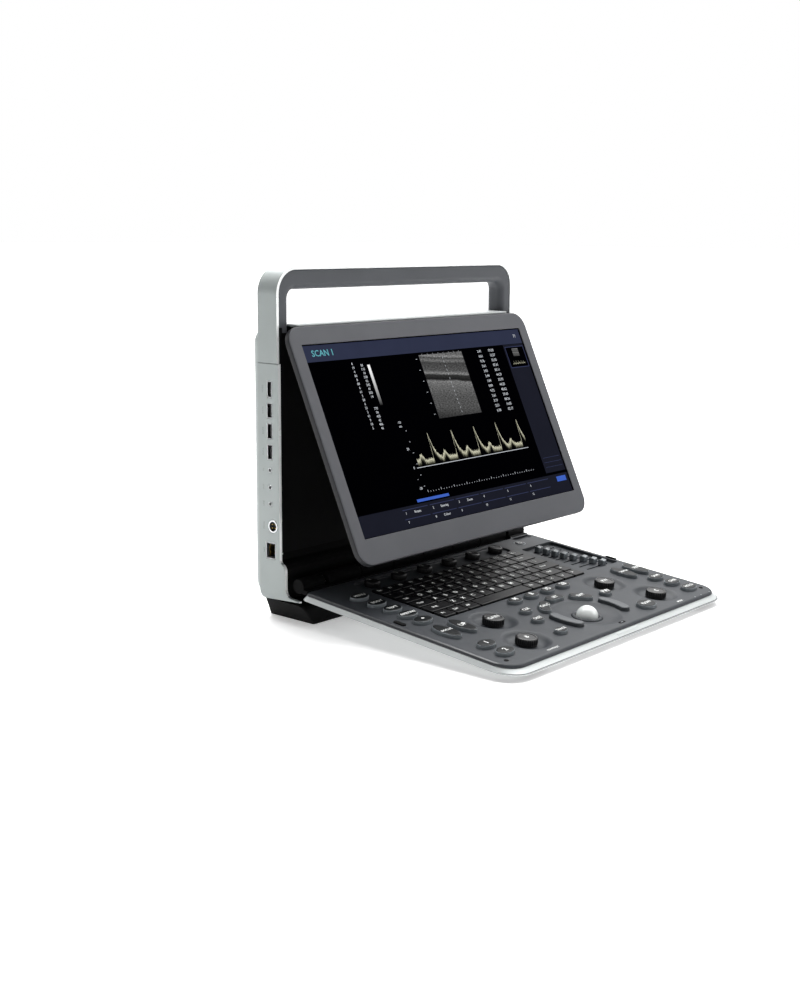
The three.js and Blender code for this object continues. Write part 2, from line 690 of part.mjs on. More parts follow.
piece(monitor, "monitor_bezel", monitorBezel(), COLORS.bezel, 0.55);
piece(monitor, "monitor_back_cover", monitorBackCover(), COLORS.black, 0.6);
piece(
  monitor,
  "lcd_panel",
  backward(screenOutline(SCREEN.border, SCREEN.topBorder), FACE + MONITOR.lip + GAP, BEZEL_BACK - GAP),
  COLORS.screen,
  0.2,
);

// ---- Control panel: drawn level, with its top plane at zero, then sloped to the front ----

const panel = new THREE.Group();
panel.position.set(0, 0, PANEL.height);
panel.rotation.x = PANEL.slope;
scanner.add(panel);

function panelOutline(inset) {
  const half = PANEL.halfWidth - inset;
  const front = PANEL.frontRadius - inset;
  const back = Math.max(PANEL.backRadius - inset, 2);
  return roundedRectangle(-half, half, -PANEL.front + inset, -PANEL.back - inset, [front, front, back, back]);
}

// The deeper middle of the base, drawn as a side profile inside a trapezoid.
function belly(inset) {
  const { halfTop, halfMiddle, halfBottom, middle } = BELLY;
  const side = shapeOf([
    [-52 - inset, -PANEL.shell + PANEL.floor],
    [-56 - inset, -20 + inset],
    [-180, -20 + inset],
    [-BALL.v, -17 + inset],
    [-275 + inset, -12.4 + inset],
    [-280 + inset, -PANEL.shell + PANEL.floor],
  ]);
  const front = shapeOf([
    [-halfTop + inset, -PANEL.shell + PANEL.floor],
    [-halfMiddle + inset, -middle + inset / 2],
    [-halfBottom + inset, -20.5],
    [halfBottom - inset, -20.5],
    [halfMiddle - inset, -middle + inset / 2],
    [halfTop - inset, -PANEL.shell + PANEL.floor],
  ]);
  return common(across(side, -halfTop, halfTop), backward(front, -PANEL.front, 0));
}

// The silver base: a tray with a deeper belly, two hinge knuckles, and a slot in front for the latch.
function panelBaseShell() {
  const tray = upward(panelOutline(0), -PANEL.shell, 0);
  const inside = upward(panelOutline(PANEL.rim), -PANEL.shell + PANEL.floor, 1);
  let body = solid(tray).add(solid(belly(0)));
  body = body.subtract(solid(inside)).subtract(solid(belly(BELLY.floor)));
  const { back, above, radius, bore } = PANEL_HINGE;
  for (const side of [-1, 1]) {
    const x0 = Math.min(side * KNUCKLE.inner, side * KNUCKLE.outer);
    const x1 = Math.max(side * KNUCKLE.inner, side * KNUCKLE.outer);
    body = body.add(solid(rod(radius, x0, x1, -back, above, 24)));
    body = body.add(solid(block(x0, x1, -PANEL.back - 2, -back, above - 6.5, above - 2)));
  }
  body = body.subtract(solid(rod(bore, -KNUCKLE.outer - 1, KNUCKLE.outer + 1, -back, above)));
  const slot = block(
    -LATCH.halfWidth - GAP,
    LATCH.halfWidth + GAP,
    -PANEL.front - 1,
    -PANEL.front + PANEL.rim + 1,
    LATCH.bottom - GAP,
    LATCH.top + GAP,
  );
  return geometryOf(body.subtract(solid(slot)));
}

function keyField(grow) {
  return roundedRectangle(KEYS.left - grow, KEYS.right + grow, -KEYS.front - grow, -KEYS.back + grow, 2);
}

// The keys and the thin mat that joins them under the cover.
function keyboard() {
  const unit = (KEYS.right - KEYS.left) / 15;
  const pitch = (KEYS.front - KEYS.back) / KEYS.rows;
  let whole = solid(upward(keyField(-0.5), KEY_MAT.bottom, KEY_MAT.bottom + KEY_MAT.thickness));
  KEY_ROWS.forEach((widths, row) => {
    const back = -KEYS.back - row * pitch - KEYS.gap / 2;
    let left = KEYS.left;
    for (const width of widths) {
      const right = left + width * unit;
      const key = block(
        left + KEYS.gap / 2,
        right - KEYS.gap / 2,
        back - pitch + KEYS.gap,
        back,
        KEY_MAT.bottom + KEY_MAT.thickness / 2,
        KEYS.top,
      );
      whole = whole.add(solid(key));
      left = right;
    }
  });
  return geometryOf(whole);
}

// A button's outline is a function of how much larger it is drawn: the hole for it is a little larger.
function oval(u, v, width, depth) {
  return (grow) => ellipse(u, -v, width / 2 + grow, depth / 2 + grow);
}

// A bar that bends around the trackball, between two angles measured from +X.
function arcBar(inner, outer, from, to) {
  return (grow) => {
    const turn = (2 * grow) / (inner + outer);
    const shape = new THREE.Shape();
    shape.absarc(0, -BALL.v, outer + grow, from - turn, to + turn, false);
    shape.absarc(0, -BALL.v, inner - grow, to + turn, from - turn, true);
    return shape;
  };
}

const degrees = THREE.MathUtils.degToRad;
const BUTTON_GROUPS = {
  left_key_column: {
    keys: [73.4, 96, 116, 135, 153.5].map((v) => oval(-154, v, 22, 14)),
    webs: [roundedRectangle(-158, -150, -157, -70, 1)],
  },
  left_paddle_keys: {
    keys: [oval(-160, 187, 15, 32), oval(-136, 186, 15, 32)],
    webs: [roundedRectangle(-162, -134, -191, -183, 1)],
  },
  left_corner_keys: {
    keys: [oval(-155.8, 229.2, 21, 14), oval(-156.2, 250.4, 21, 14)],
    webs: [roundedRectangle(-160, -152, -254, -225, 1)],
  },
  right_paddle_keys: {
    keys: [oval(139, 186, 15, 32), oval(162.5, 186, 15, 32)],
    webs: [roundedRectangle(137, 165, -190, -182, 1)],
  },
  right_key_column: {
    keys: [215.5, 235.5, 255.5].map((v) => oval(155, v, 21, 14)),
    webs: [roundedRectangle(151, 159, -259, -212, 1)],
  },
  centre_key_row: {
    keys: [-35.5, -8.5, 19, 46].map((u) => oval(u, 171.5, 18.5, 12)),
    webs: [roundedRectangle(-38, 51, -175, -169, 1)],
  },
  upper_arc_keys: {
    keys: [
      [27, 60],
      [70, 102],
      [111, 149],
    ].map(([from, to]) => arcBar(37, 48, degrees(from), degrees(to))),
    webs: [arcBar(40, 45, degrees(45), degrees(130))(0)],
  },
  left_select_bar: { keys: [arcBar(37, 47.5, degrees(159), degrees(209))], webs: [] },
  right_select_bar: { keys: [arcBar(37, 47.5, degrees(-31), degrees(19))], webs: [] },
  left_round_keys: {
    keys: [oval(-52, 196.5, 15, 10.5), oval(-63, 218.5, 15, 10.5), oval(-70, 250, 15, 10.5)],
    webs: [
      shapeOf([
        [-55, -194],
        [-49, -194],
        [-57, -218],
        [-67, -253],
        [-73, -253],
        [-66, -218],
      ]),
    ],
  },
  right_round_keys: {
    keys: [oval(63.5, 212, 15, 11.5), oval(67, 258, 23, 18)],
    webs: [
      shapeOf([
        [62, -210],
        [68, -210],
        [72, -260],
        [66, -260],
      ]),
    ],
  },
};

// One group of buttons: raised keys that pass through the cover, on a web under it.
function buttonGroup({ keys, webs }) {
  const { top, web, webTop } = BUTTON;
  let whole = null;
  for (const key of keys) {
    const stem = solid(upward(key(0), webTop - web, top, BUTTON_STEPS));
    whole = whole ? whole.add(stem) : stem;
  }
  for (const shape of webs) {
    whole = whole.add(solid(upward(shape, webTop - web, webTop, BUTTON_STEPS)));
  }
  return geometryOf(whole);
}

// A round bowl cut into the cover, narrower at its floor.
function bowl(radius, floorRadius, depth) {
  const profile = [
    [0, -depth],
    [floorRadius, -depth],
    [radius, 0],
    [radius, 1],
    [0, 1],
  ];
  return turned(profile, 16);
}

function trough(grow) {
  const { left, right, front, back } = TROUGH;
  return roundedRectangle(left - grow, right + grow, -front - grow, -back + grow, 6 + grow);
}

function panelTopCover() {
  let body = solid(upward(panelOutline(PANEL.rim + GAP), -PANEL.cover, 0));
  const add = (geometry) => {
    body = body.add(solid(geometry));
  };
  const remove = (geometry) => {
    body = body.subtract(solid(geometry));
  };
  for (const [, u, v] of LARGE_KNOB_AT) add(moved(cylinder(LARGE_KNOB.cup, -8, -1, 16), u, -v, 0));
  add(moved(cylinder(BALL.boss, -BALL.dishDepth - 2, -1, 24), 0, -BALL.v, 0));
  add(upward(roundedRectangle(WELL.left - 2, WELL.right + 2, -WELL.front - 2, -WELL.back + 2, 3), -6, -1));
  add(upward(trough(1), -5, -1));

  for (const [, u, v] of LARGE_KNOB_AT) {
    remove(moved(bowl(LARGE_KNOB.bowl, LARGE_KNOB.bowlFloor, LARGE_KNOB.depth), u, -v, 0));
  }
  remove(moved(bowl(BALL.dish, BALL.ring + 3, BALL.dishDepth), 0, -BALL.v, 0));
  remove(moved(cylinder(BALL.ring + GAP, -9, 1, 24), 0, -BALL.v, 0));
  remove(upward(roundedRectangle(WELL.left, WELL.right, -WELL.front, -WELL.back, 2), -WELL.depth, 1));
  remove(upward(trough(0), -TROUGH.depth, 1));
  for (let i = 0; i < SLIDER.count; i++) {
    const v = SLIDER.first + i * SLIDER.pitch;
    remove(block(SLIDER.slotLeft, SLIDER.slotRight, -v - SLIDER.slot / 2, -v + SLIDER.slot / 2, -7, 1));
  }
  remove(upward(keyField(0), -9, 1));
  remove(moved(cylinder(POWER.radius + BUTTON.clearance, -9, 1, 20), POWER.u, -POWER.v, 0));
  for (const { keys } of Object.values(BUTTON_GROUPS)) {
    for (const key of keys) remove(upward(key(BUTTON.clearance), -9, 1, BUTTON_STEPS));
  }
  return geometryOf(body);
}

// A knob with flutes around its side, so that a finger can turn it, and a smaller crown.
function fluted(radius, bottom, top, flutes) {
  const points = [];
  for (let i = 0; i < 2 * flutes; i++) {
    const angle = (i * Math.PI) / flutes;
    const reach = i % 2 ? radius - 0.6 : radius;
    points.push([Math.cos(angle) * reach, Math.sin(angle) * reach]);
  }
  return joined(upward(shapeOf(points), bottom, top - 1), cylinder(radius - 1.4, bottom + 1, top, 16));
}

function slider(index) {
  const v = SLIDER.first + index * SLIDER.pitch;
  const u = SLIDER_AT[index];
  const floor = -WELL.depth + GAP;
  const { length, width, top } = SLIDER_CAP;
  const cap = block(u - length / 2, u + length / 2, -v - width / 2, -v + width / 2, floor, top);
  const groove = block(u - 0.7, u + 0.7, -v - width, -v + width, top - 1, top + 1);
  const stem = block(u - 1.5, u + 1.5, -v - 0.9, -v + 0.9, -7.2, floor + 1);
  return joined(cut(cap, groove), stem);
}

function controlBoard() {
  const { top, thickness, halfWidth, back, front } = BOARD;
  const board = block(-halfWidth, halfWidth, -front, -back, top - thickness, top);
  return cut(board, moved(cylinder(BALL.ring + 1, top - 5, top + 5, 24), 0, -BALL.v, 0));
}

function trackballRing() {
  const { bottom, shoulder, top, bevel } = BALL_RING;
  const profile = [
    [0, bottom],
    [BALL.ring, bottom],
    [BALL.ring, shoulder],
    [BALL.ring - bevel, top],
    [0, top],
  ];
  const opening = cylinder(BALL.radius + 2 * GAP, -9, 1, 24);
  return moved(cut(turned(profile, 24), opening), 0, -BALL.v, 0);
}

// The strip that the front of the panel rests on. Its bottom is level with the floor, so it is drawn in
// the frame of the whole object.
function panelRubberStrip() {
  const slope = new THREE.Vector2(Math.cos(PANEL.slope), Math.sin(PANEL.slope));
  const onBelly = (v) => {
    const [v0, h0, v1, h1] = [BALL.v, -17, 275, -12.4];
    const h = h0 + ((h1 - h0) * (v - v0)) / (v1 - v0) - GAP;
    return [-v * slope.x - h * slope.y, PANEL.height - v * slope.y + h * slope.x];
  };
  const [frontTop, backTop] = [onBelly(271), onBelly(259)];
  const profile = shapeOf([
    [frontTop[0], 0],
    [backTop[0], 0],
    backTop,
    frontTop,
  ]);
  return across(profile, -STRIP_HALF_LENGTH, STRIP_HALF_LENGTH);
}

piece(panel, "panel_base_shell", panelBaseShell(), COLORS.paleSilver, 0.4, 0.2);
piece(panel, "panel_top_cover", panelTopCover(), COLORS.cover, 0.55);
piece(panel, "control_board", controlBoard(), COLORS.board, 0.6);
piece(panel, "trackball_ring", trackballRing(), COLORS.bar, 0.4);
piece(scanner, "panel_rubber_strip", panelRubberStrip(), COLORS.rubber, 0.9);
piece(panel, "keyboard", keyboard(), COLORS.key, 0.5);

const ball = new THREE.SphereGeometry(BALL.radius, 18, 12);
piece(panel, "trackball", moved(ball, 0, -BALL.v, -BALL.sink), COLORS.ball, 0.15);

for (const [name, u, v] of LARGE_KNOB_AT) {
  const bottom = -LARGE_KNOB.depth + GAP;
  const knob = fluted(LARGE_KNOB.radius, bottom, bottom + LARGE_KNOB.height, 12);
  piece(panel, name, moved(knob, u, -v, 0), COLORS.key, 0.4);
}

for (let i = 0; i < SMALL_KNOB.count; i++) {
  const u = SMALL_KNOB.first + i * SMALL_KNOB.pitch;
  const bottom = -TROUGH.depth + GAP;
  const knob = fluted(SMALL_KNOB.radius, bottom, bottom + SMALL_KNOB.height, 10);
  piece(panel, `menu_knob_${i + 1}`, moved(knob, u, -SMALL_KNOB.back, 0), COLORS.key, 0.4);
}

for (let i = 0; i < SLIDER.count; i++) {
  piece(panel, `depth_gain_slider_${i + 1}`, slider(i), COLORS.bar, 0.4);
}

const powerButton = cylinder(POWER.radius, POWER.bottom, POWER.top, 20);
piece(panel, "power_button", moved(powerButton, POWER.u, -POWER.v, 0), COLORS.bar, 0.4);

piece(
  panel,
  "latch_button",
  block(
    -LATCH.halfWidth,
    LATCH.halfWidth,
    -PANEL.front - LATCH.proud,
    -PANEL.front - LATCH.proud + LATCH.depth,
    LATCH.bottom,
    LATCH.top,
  ),
  COLORS.silver,
  0.4,
  0.2,
);

for (const [name, group] of Object.entries(BUTTON_GROUPS)) {
  piece(panel, name, buttonGroup(group), name.includes("bar") ? COLORS.bar : COLORS.button, 0.4);
}

export default scanner;
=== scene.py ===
# The looks of a portable ultrasound scanner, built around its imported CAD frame.
# Pieces are drawn in millimetres in flat local frames, then placed in the frame of the whole object.

import math
import random

import bmesh
import bpy
from mathutils import Matrix, Vector


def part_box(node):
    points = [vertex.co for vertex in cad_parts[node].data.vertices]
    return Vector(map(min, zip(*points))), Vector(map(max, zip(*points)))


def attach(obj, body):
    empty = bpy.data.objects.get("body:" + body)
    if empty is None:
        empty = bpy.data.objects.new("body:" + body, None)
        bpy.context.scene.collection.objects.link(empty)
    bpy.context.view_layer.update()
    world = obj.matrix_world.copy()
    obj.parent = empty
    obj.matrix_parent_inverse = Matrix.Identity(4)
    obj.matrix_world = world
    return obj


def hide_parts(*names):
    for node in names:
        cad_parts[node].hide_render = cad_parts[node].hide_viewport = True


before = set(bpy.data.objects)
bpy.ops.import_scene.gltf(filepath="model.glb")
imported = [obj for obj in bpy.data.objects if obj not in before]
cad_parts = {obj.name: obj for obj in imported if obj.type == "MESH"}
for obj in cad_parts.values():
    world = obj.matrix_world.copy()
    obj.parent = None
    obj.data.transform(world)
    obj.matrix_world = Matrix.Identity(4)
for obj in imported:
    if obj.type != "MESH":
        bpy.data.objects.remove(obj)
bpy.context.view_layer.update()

MM = 0.001
SEED = 20

# ---- Local frames: x to the right and y up along a surface, z out of it ----

WORLD = Matrix.Identity(4)
LEFT = Matrix.Rotation(math.radians(-90), 4, "Z") @ Matrix.Rotation(math.radians(90), 4, "X")
RIGHT = Matrix.Rotation(math.radians(90), 4, "Z") @ Matrix.Rotation(math.radians(90), 4, "X")
BACK = Matrix.Rotation(math.radians(180), 4, "Z") @ Matrix.Rotation(math.radians(90), 4, "X")
FRONT = Matrix.Rotation(math.radians(90), 4, "X")


def flat_normal(node, towards):
    """The direction of a CAD node's largest face, on the side that looks towards a given direction."""
    largest = max(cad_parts[node].data.polygons, key=lambda polygon: polygon.area)
    return largest.normal if largest.normal.dot(towards) > 0 else -largest.normal


def tilted(node, towards, origin):
    """A frame whose z is the normal of a CAD node's largest face, with x along the object's width."""
    z = flat_normal(node, towards)
    x = Vector((1, 0, 0))
    y = z.cross(x)
    matrix = Matrix((x, y, z)).transposed().to_4x4()
    matrix.translation = origin
    return matrix


def panel_origin():
    """The point of the control panel's top plane that is straight over y = 0."""
    normal = flat_normal("panel_top_cover", Vector((0, 0, 1)))
    level = max(normal.dot(v.co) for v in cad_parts["panel_top_cover"].data.vertices)
    return Vector((0, 0, level / normal.z))


PANEL = tilted("panel_top_cover", Vector((0, 0, 1)), panel_origin())
MONITOR = tilted("lcd_panel", Vector((0, -1, 0)), sum(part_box("monitor_hinge_rod"), Vector()) / 2)


def points_of(node, place):
    to_place = place.inverted()
    return [to_place @ v.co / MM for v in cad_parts[node].data.vertices]


def span(node, place=WORLD):
    """The lowest and highest corner of a CAD node in a local frame, in millimetres."""
    points = points_of(node, place)
    low = Vector(min(p[i] for p in points) for i in range(3))
    high = Vector(max(p[i] for p in points) for i in range(3))
    return low, high


def tops(node):
    """The flat tops of a control's separate keys: for each, the centre, the half sizes and the corners."""
    points = points_of(node, PANEL)
    level = max(p.z for p in points)
    islands = []
    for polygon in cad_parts[node].data.polygons:
        corners = [points[i] for i in polygon.vertices]
        if min(p.z for p in corners) < level - 0.05:
            continue
        island = {(round(p.x, 2), round(p.y, 2)) for p in corners}
        for other in [known for known in islands if known & island]:
            islands.remove(other)
            island |= other
        islands.append(island)
    found = []
    for island in islands:
        xs, ys = [x for x, _ in island], [y for _, y in island]
        centre = ((min(xs) + max(xs)) / 2, (min(ys) + max(ys)) / 2)
        half = ((max(xs) - min(xs)) / 2, (max(ys) - min(ys)) / 2)
        found.append({"centre": centre, "half": half, "corners": sorted(island), "level": level})
    return sorted(found, key=lambda top: (-round(top["centre"][1]), top["centre"][0]))


# ---- Materials ----


def srgb(red, green, blue):
    """Linear colour from the usual 0 to 255 values."""

    def linear(value):
        value = value / 255
        return value / 12.92 if value <= 0.04045 else ((value + 0.055) / 1.055) ** 2.4

    return (linear(red), linear(green), linear(blue), 1.0)


def node_tree(name):
    made = bpy.data.materials.new(name)
    made.use_nodes = True
    shader = made.node_tree.nodes["Principled BSDF"]
    return made, made.node_tree, shader


def noise_node(tree, size, detail=3.0, coordinates="Object", stretch=(1, 1, 1)):
    """A noise texture whose blotches are about size metres across."""
    coordinate = tree.nodes.new("ShaderNodeTexCoord")
    mapping = tree.nodes.new("ShaderNodeMapping")
    mapping.inputs["Scale"].default_value = stretch
    noise = tree.nodes.new("ShaderNodeTexNoise")
    noise.inputs["Scale"].default_value = 1 / size
    noise.inputs["Detail"].default_value = detail
    tree.links.new(coordinate.outputs[coordinates], mapping.inputs["Vector"])
    tree.links.new(mapping.outputs["Vector"], noise.inputs["Vector"])
    return noise


def ramp_between(tree, value, low, high, start=0.3, end=0.7):
    """A colour that goes from low to high as a value goes from start to end."""
    ramp = tree.nodes.new("ShaderNodeValToRGB")
    ramp.color_ramp.elements[0].position = start
    ramp.color_ramp.elements[0].color = low
    ramp.color_ramp.elements[1].position = end
    ramp.color_ramp.elements[1].color = high
    tree.links.new(value, ramp.inputs["Fac"])
    return ramp.outputs["Color"]


def shade(color, factor):
    return tuple(min(1.0, channel * factor) for channel in color[:3]) + (1.0,)


def moulded(name, color, roughness, metallic=0.0, specular=0.5, mottle=0.05, grain=0.25, grain_size=0.6,
            coat=0.0, blotch=0.045):
    """A moulded or painted surface: soft blotches of tone, uneven gloss, and a fine grain in relief."""
    made, tree, shader = node_tree(name)
    blotches = noise_node(tree, blotch, 4.0)
    tone = ramp_between(tree, blotches.outputs["Fac"], shade(color, 1 - mottle), shade(color, 1 + mottle))
    tree.links.new(tone, shader.inputs["Base Color"])
    wipes = noise_node(tree, 0.022, 5.0, stretch=(1, 0.35, 1))
    gloss = tree.nodes.new("ShaderNodeMapRange")
    gloss.inputs["To Min"].default_value = max(roughness - 0.05, 0.02)
    gloss.inputs["To Max"].default_value = min(roughness + 0.06, 1.0)
    tree.links.new(wipes.outputs["Fac"], gloss.inputs["Value"])
    tree.links.new(gloss.outputs["Result"], shader.inputs["Roughness"])
    texture = noise_node(tree, grain_size * MM, 2.0)
    bump = tree.nodes.new("ShaderNodeBump")
    bump.inputs["Strength"].default_value = grain
    bump.inputs["Distance"].default_value = 0.05 * MM
    tree.links.new(texture.outputs["Fac"], bump.inputs["Height"])
    tree.links.new(bump.outputs["Normal"], shader.inputs["Normal"])
    shader.inputs["Metallic"].default_value = metallic
    shader.inputs["Specular IOR Level"].default_value = specular
    shader.inputs["Coat Weight"].default_value = coat
    shader.inputs["Coat Roughness"].default_value = 0.08
    return made


def glowing(name, color, strength=1.0, flicker=0.12, size=0.002):
    """A lit area of the display, with the slight unevenness of its backlight."""
    made, tree, shader = node_tree(name)
    uneven = noise_node(tree, size, 2.0)
    tone = ramp_between(tree, uneven.outputs["Fac"], shade(color, 1 - flicker), shade(color, 1 + flicker))
    tree.links.new(tone, shader.inputs["Emission Color"])
    shader.inputs["Emission Strength"].default_value = strength
    shader.inputs["Base Color"].default_value = (0.004, 0.004, 0.005, 1)
    shader.inputs["Roughness"].default_value = 0.4
    shader.inputs["Specular IOR Level"].default_value = 0.0
    return made


def drawn_picture(name, strength):
    """A lit material whose picture is drawn across it, with the two axes of that picture."""
    made, tree, shader = node_tree(name)
    coordinate = tree.nodes.new("ShaderNodeTexCoord")
    axes = tree.nodes.new("ShaderNodeSeparateXYZ")
    tree.links.new(coordinate.outputs["UV"], axes.inputs["Vector"])
    shader.inputs["Emission Strength"].default_value = strength
    shader.inputs["Base Color"].default_value = (0.004, 0.004, 0.004, 1)
    shader.inputs["Specular IOR Level"].default_value = 0.0
    return made, tree, shader, axes


def multiplied(tree, first, second):
    """The product of two colours."""
    product = tree.nodes.new("ShaderNodeMix")
    product.data_type = "RGBA"
    product.blend_type = "MULTIPLY"
    product.inputs["Factor"].default_value = 1.0
    tree.links.new(first, product.inputs["A"])
    tree.links.new(second, product.inputs["B"])
    return product.outputs["Result"]


def tissue_image():
    """The grey scan on the display: bright layers, a dark vessel with bright walls, and fading depth."""
    made, tree, shader, axes = drawn_picture("tissue_image", 0.42)

    def math_node(kind, first, second):
        node = tree.nodes.new("ShaderNodeMath")
        node.operation = kind
        for socket, value in zip(node.inputs, (first, second)):
            if isinstance(value, (int, float)):
                socket.default_value = value
            else:
                tree.links.new(value, socket)
        return node.outputs["Value"]

    waves = noise_node(tree, 0.6, 3.0, "UV", (1, 1, 1))
    wave = math_node("MULTIPLY", waves.outputs["Fac"], 0.07)
    slope = math_node("MULTIPLY", axes.outputs["X"], -0.1)
    depth = math_node("ADD", math_node("ADD", axes.outputs["Y"], wave), slope)
    layers = tree.nodes.new("ShaderNodeValToRGB")
    ramp = layers.color_ramp
    stops = [(0.0, 0.5), (0.03, 0.9), (0.06, 0.25), (0.1, 0.6), (0.14, 0.2), (0.27, 0.32), (0.31, 0.85),
             (0.34, 0.1), (0.41, 0.03), (0.44, 0.7), (0.52, 0.5), (0.68, 0.32), (0.85, 0.3), (1.0, 0.12)]
    ramp.elements[0].position, ramp.elements[0].color = stops[0][0], (stops[0][1],) * 3 + (1,)
    ramp.elements[1].position, ramp.elements[1].color = stops[-1][0], (stops[-1][1],) * 3 + (1,)
    for position, value in stops[1:-1]:
        ramp.elements.new(position).color = (value, value, value, 1)
    tree.links.new(depth, layers.inputs["Fac"])
    speckle = noise_node(tree, 0.04, 6.0, "UV", (1, 3.2, 1))
    speckle_tone = ramp_between(tree, speckle.outputs["Fac"], (0.25, 0.25, 0.25, 1), (1, 1, 1, 1), 0.35, 0.68)
    tone = multiplied(tree, layers.outputs["Color"], speckle_tone)
    tree.links.new(tone, shader.inputs["Emission Color"])
    return made


def trace_image():
    """The flow trace on the display: a bright, grainy envelope over a dimmer middle."""
    made, tree, shader, axes = drawn_picture("trace_image", 1.0)
    dim, bright = (0.05, 0.05, 0.03, 1), (0.85, 0.83, 0.62, 1)
    envelope = ramp_between(tree, axes.outputs["Y"], dim, bright, 0.15, 0.8)
    grains = noise_node(tree, 0.012, 4.0, "UV", (6, 1, 1))
    grain_tone = ramp_between(tree, grains.outputs["Fac"], (0.1, 0.1, 0.1, 1), (1, 1, 1, 1), 0.38, 0.56)
    tree.links.new(multiplied(tree, envelope, grain_tone), shader.inputs["Emission Color"])
    return made


def wedge_image():
    """The grey scale beside the scan, white at its top and fading to black."""
    made, tree, shader, axes = drawn_picture("wedge_image", 1.0)
    tone = ramp_between(tree, axes.outputs["Y"], (0.9, 0.9, 0.9, 1), (0.0, 0.0, 0.0, 1), 0.1, 1.0)
    tree.links.new(tone, shader.inputs["Emission Color"])
    return made


def circuit_board():
    """Green solder mask, with finer and darker lines where the copper tracks run."""
    made, tree, shader = node_tree("circuit_board")
    tracks = tree.nodes.new("ShaderNodeTexBrick")
    coordinate = tree.nodes.new("ShaderNodeTexCoord")
    tracks.inputs["Scale"].default_value = 140
    tracks.inputs["Mortar Size"].default_value = 0.06
    tracks.inputs["Color1"].default_value = srgb(26, 78, 48)
    tracks.inputs["Color2"].default_value = srgb(22, 70, 44)
    tracks.inputs["Mortar"].default_value = srgb(58, 104, 60)
    tree.links.new(coordinate.outputs["Object"], tracks.inputs["Vector"])
    tree.links.new(tracks.outputs["Color"], shader.inputs["Base Color"])
    shader.inputs["Roughness"].default_value = 0.35
    return made


MATERIAL = {
    "silver": moulded("silver_paint", srgb(138, 144, 143), 0.42, metallic=0.35, grain=0.12, mottle=0.03),
    "pale": moulded("pale_silver_paint", srgb(188, 192, 192), 0.38, metallic=0.25, grain=0.1, mottle=0.02),
    # painted highlight: a near-white colour for the front faces of the silver skins, in place of the light
    # they catch
    "bright": moulded("painted_highlight_edge", srgb(240, 242, 242), 0.25, metallic=0.2, grain=0.05, mottle=0.02),
    "grip": moulded("grip_plastic", srgb(66, 68, 72), 0.55, specular=0.3, grain=0.5, grain_size=0.8),
    "bezel": moulded("bezel_plastic", srgb(78, 79, 83), 0.6, specular=0.25, grain=0.4, grain_size=0.5),
    "bezel_side": moulded("bezel_side_plastic", srgb(26, 27, 30), 0.5, specular=0.25, grain=0.3),
    "black": moulded("black_plastic", srgb(20, 20, 22), 0.5, specular=0.3, grain=0.5, mottle=0.12),
    # painted shade: black plastic darkened further, for parts that sit in shade behind the monitor and at the
    # panel's hinge
    "recess": moulded("black_plastic_painted_shade", srgb(5, 5, 6), 0.7, specular=0.08, grain=0.5, mottle=0.15),
    "cover": moulded("panel_plastic", srgb(52, 55, 59), 0.48, specular=0.18, grain=0.22, grain_size=0.5),
    # darker than the cover: painted shade for the panel's rolled-over edges, with a real gloss
    "rim": moulded("panel_rim_painted_shade", srgb(38, 40, 44), 0.32, specular=0.5, grain=0.12),
    "key": moulded("key_plastic", srgb(5, 5, 7), 0.34, specular=0.2, grain=0.25, mottle=0.1, grain_size=0.4),
    "button": moulded("button_plastic", srgb(10, 13, 15), 0.36, specular=0.14, grain=0.06, mottle=0.06),
    "skirt": moulded("button_skirt", srgb(112, 118, 122), 0.4, specular=0.4, grain=0.1),
    "bar": moulded("bar_plastic", srgb(58, 62, 66), 0.45, specular=0.4, grain=0.3),
    "knob": moulded("knob_rubber", srgb(13, 13, 14), 0.34, specular=0.5, grain=0.3, mottle=0.1),
    "ball": moulded("ball_resin", srgb(232, 236, 234), 0.12, coat=0.6, grain=0.02, mottle=0.02),
    "print": moulded("white_print", srgb(232, 234, 232), 0.6, grain=0.1, mottle=0.03, blotch=0.004),
    "grey_print": moulded("grey_print", srgb(110, 114, 114), 0.6, grain=0.1, mottle=0.05, blotch=0.004),
    "steel": moulded("bright_steel", srgb(188, 190, 192), 0.28, metallic=1.0, grain=0.1, mottle=0.04),
    "gold": moulded("gold_contacts", srgb(201, 168, 96), 0.3, metallic=1.0, grain=0.1, blotch=0.003),
    "rubber": moulded("black_rubber", srgb(10, 10, 11), 0.85, specular=0.12, grain=0.6, mottle=0.12),
    "board": circuit_board(),
    "glass": moulded("screen_glass", srgb(1, 1, 2), 0.5, specular=0.0, grain=0.0, mottle=0.1),
    "navy": glowing("display_band", srgb(42, 47, 68), 1.0, 0.05, 0.03),
    "navy_dark": glowing("display_keys", srgb(19, 21, 32), 1.0, 0.05, 0.03),
    "navy_line": glowing("display_key_edges", srgb(50, 56, 86), 1.0, 0.05, 0.03),
    "display_text": glowing("display_text", srgb(196, 200, 205), 1.0),
    "display_dim": glowing("display_dim_text", srgb(120, 130, 160), 1.0),
    "display_blue": glowing("display_bar", srgb(60, 96, 190), 1.0, 0.06, 0.01),
    "display_teal": glowing("display_title", srgb(96, 170, 180), 1.0),
    "tissue": tissue_image(),
    "trace": trace_image(),
    "wedge": wedge_image(),
    "lamp": glowing("small_lamp", srgb(205, 210, 214), 0.6),
}

# ---- Outlines: each is a function of how far it is grown, and gives points anticlockwise ----


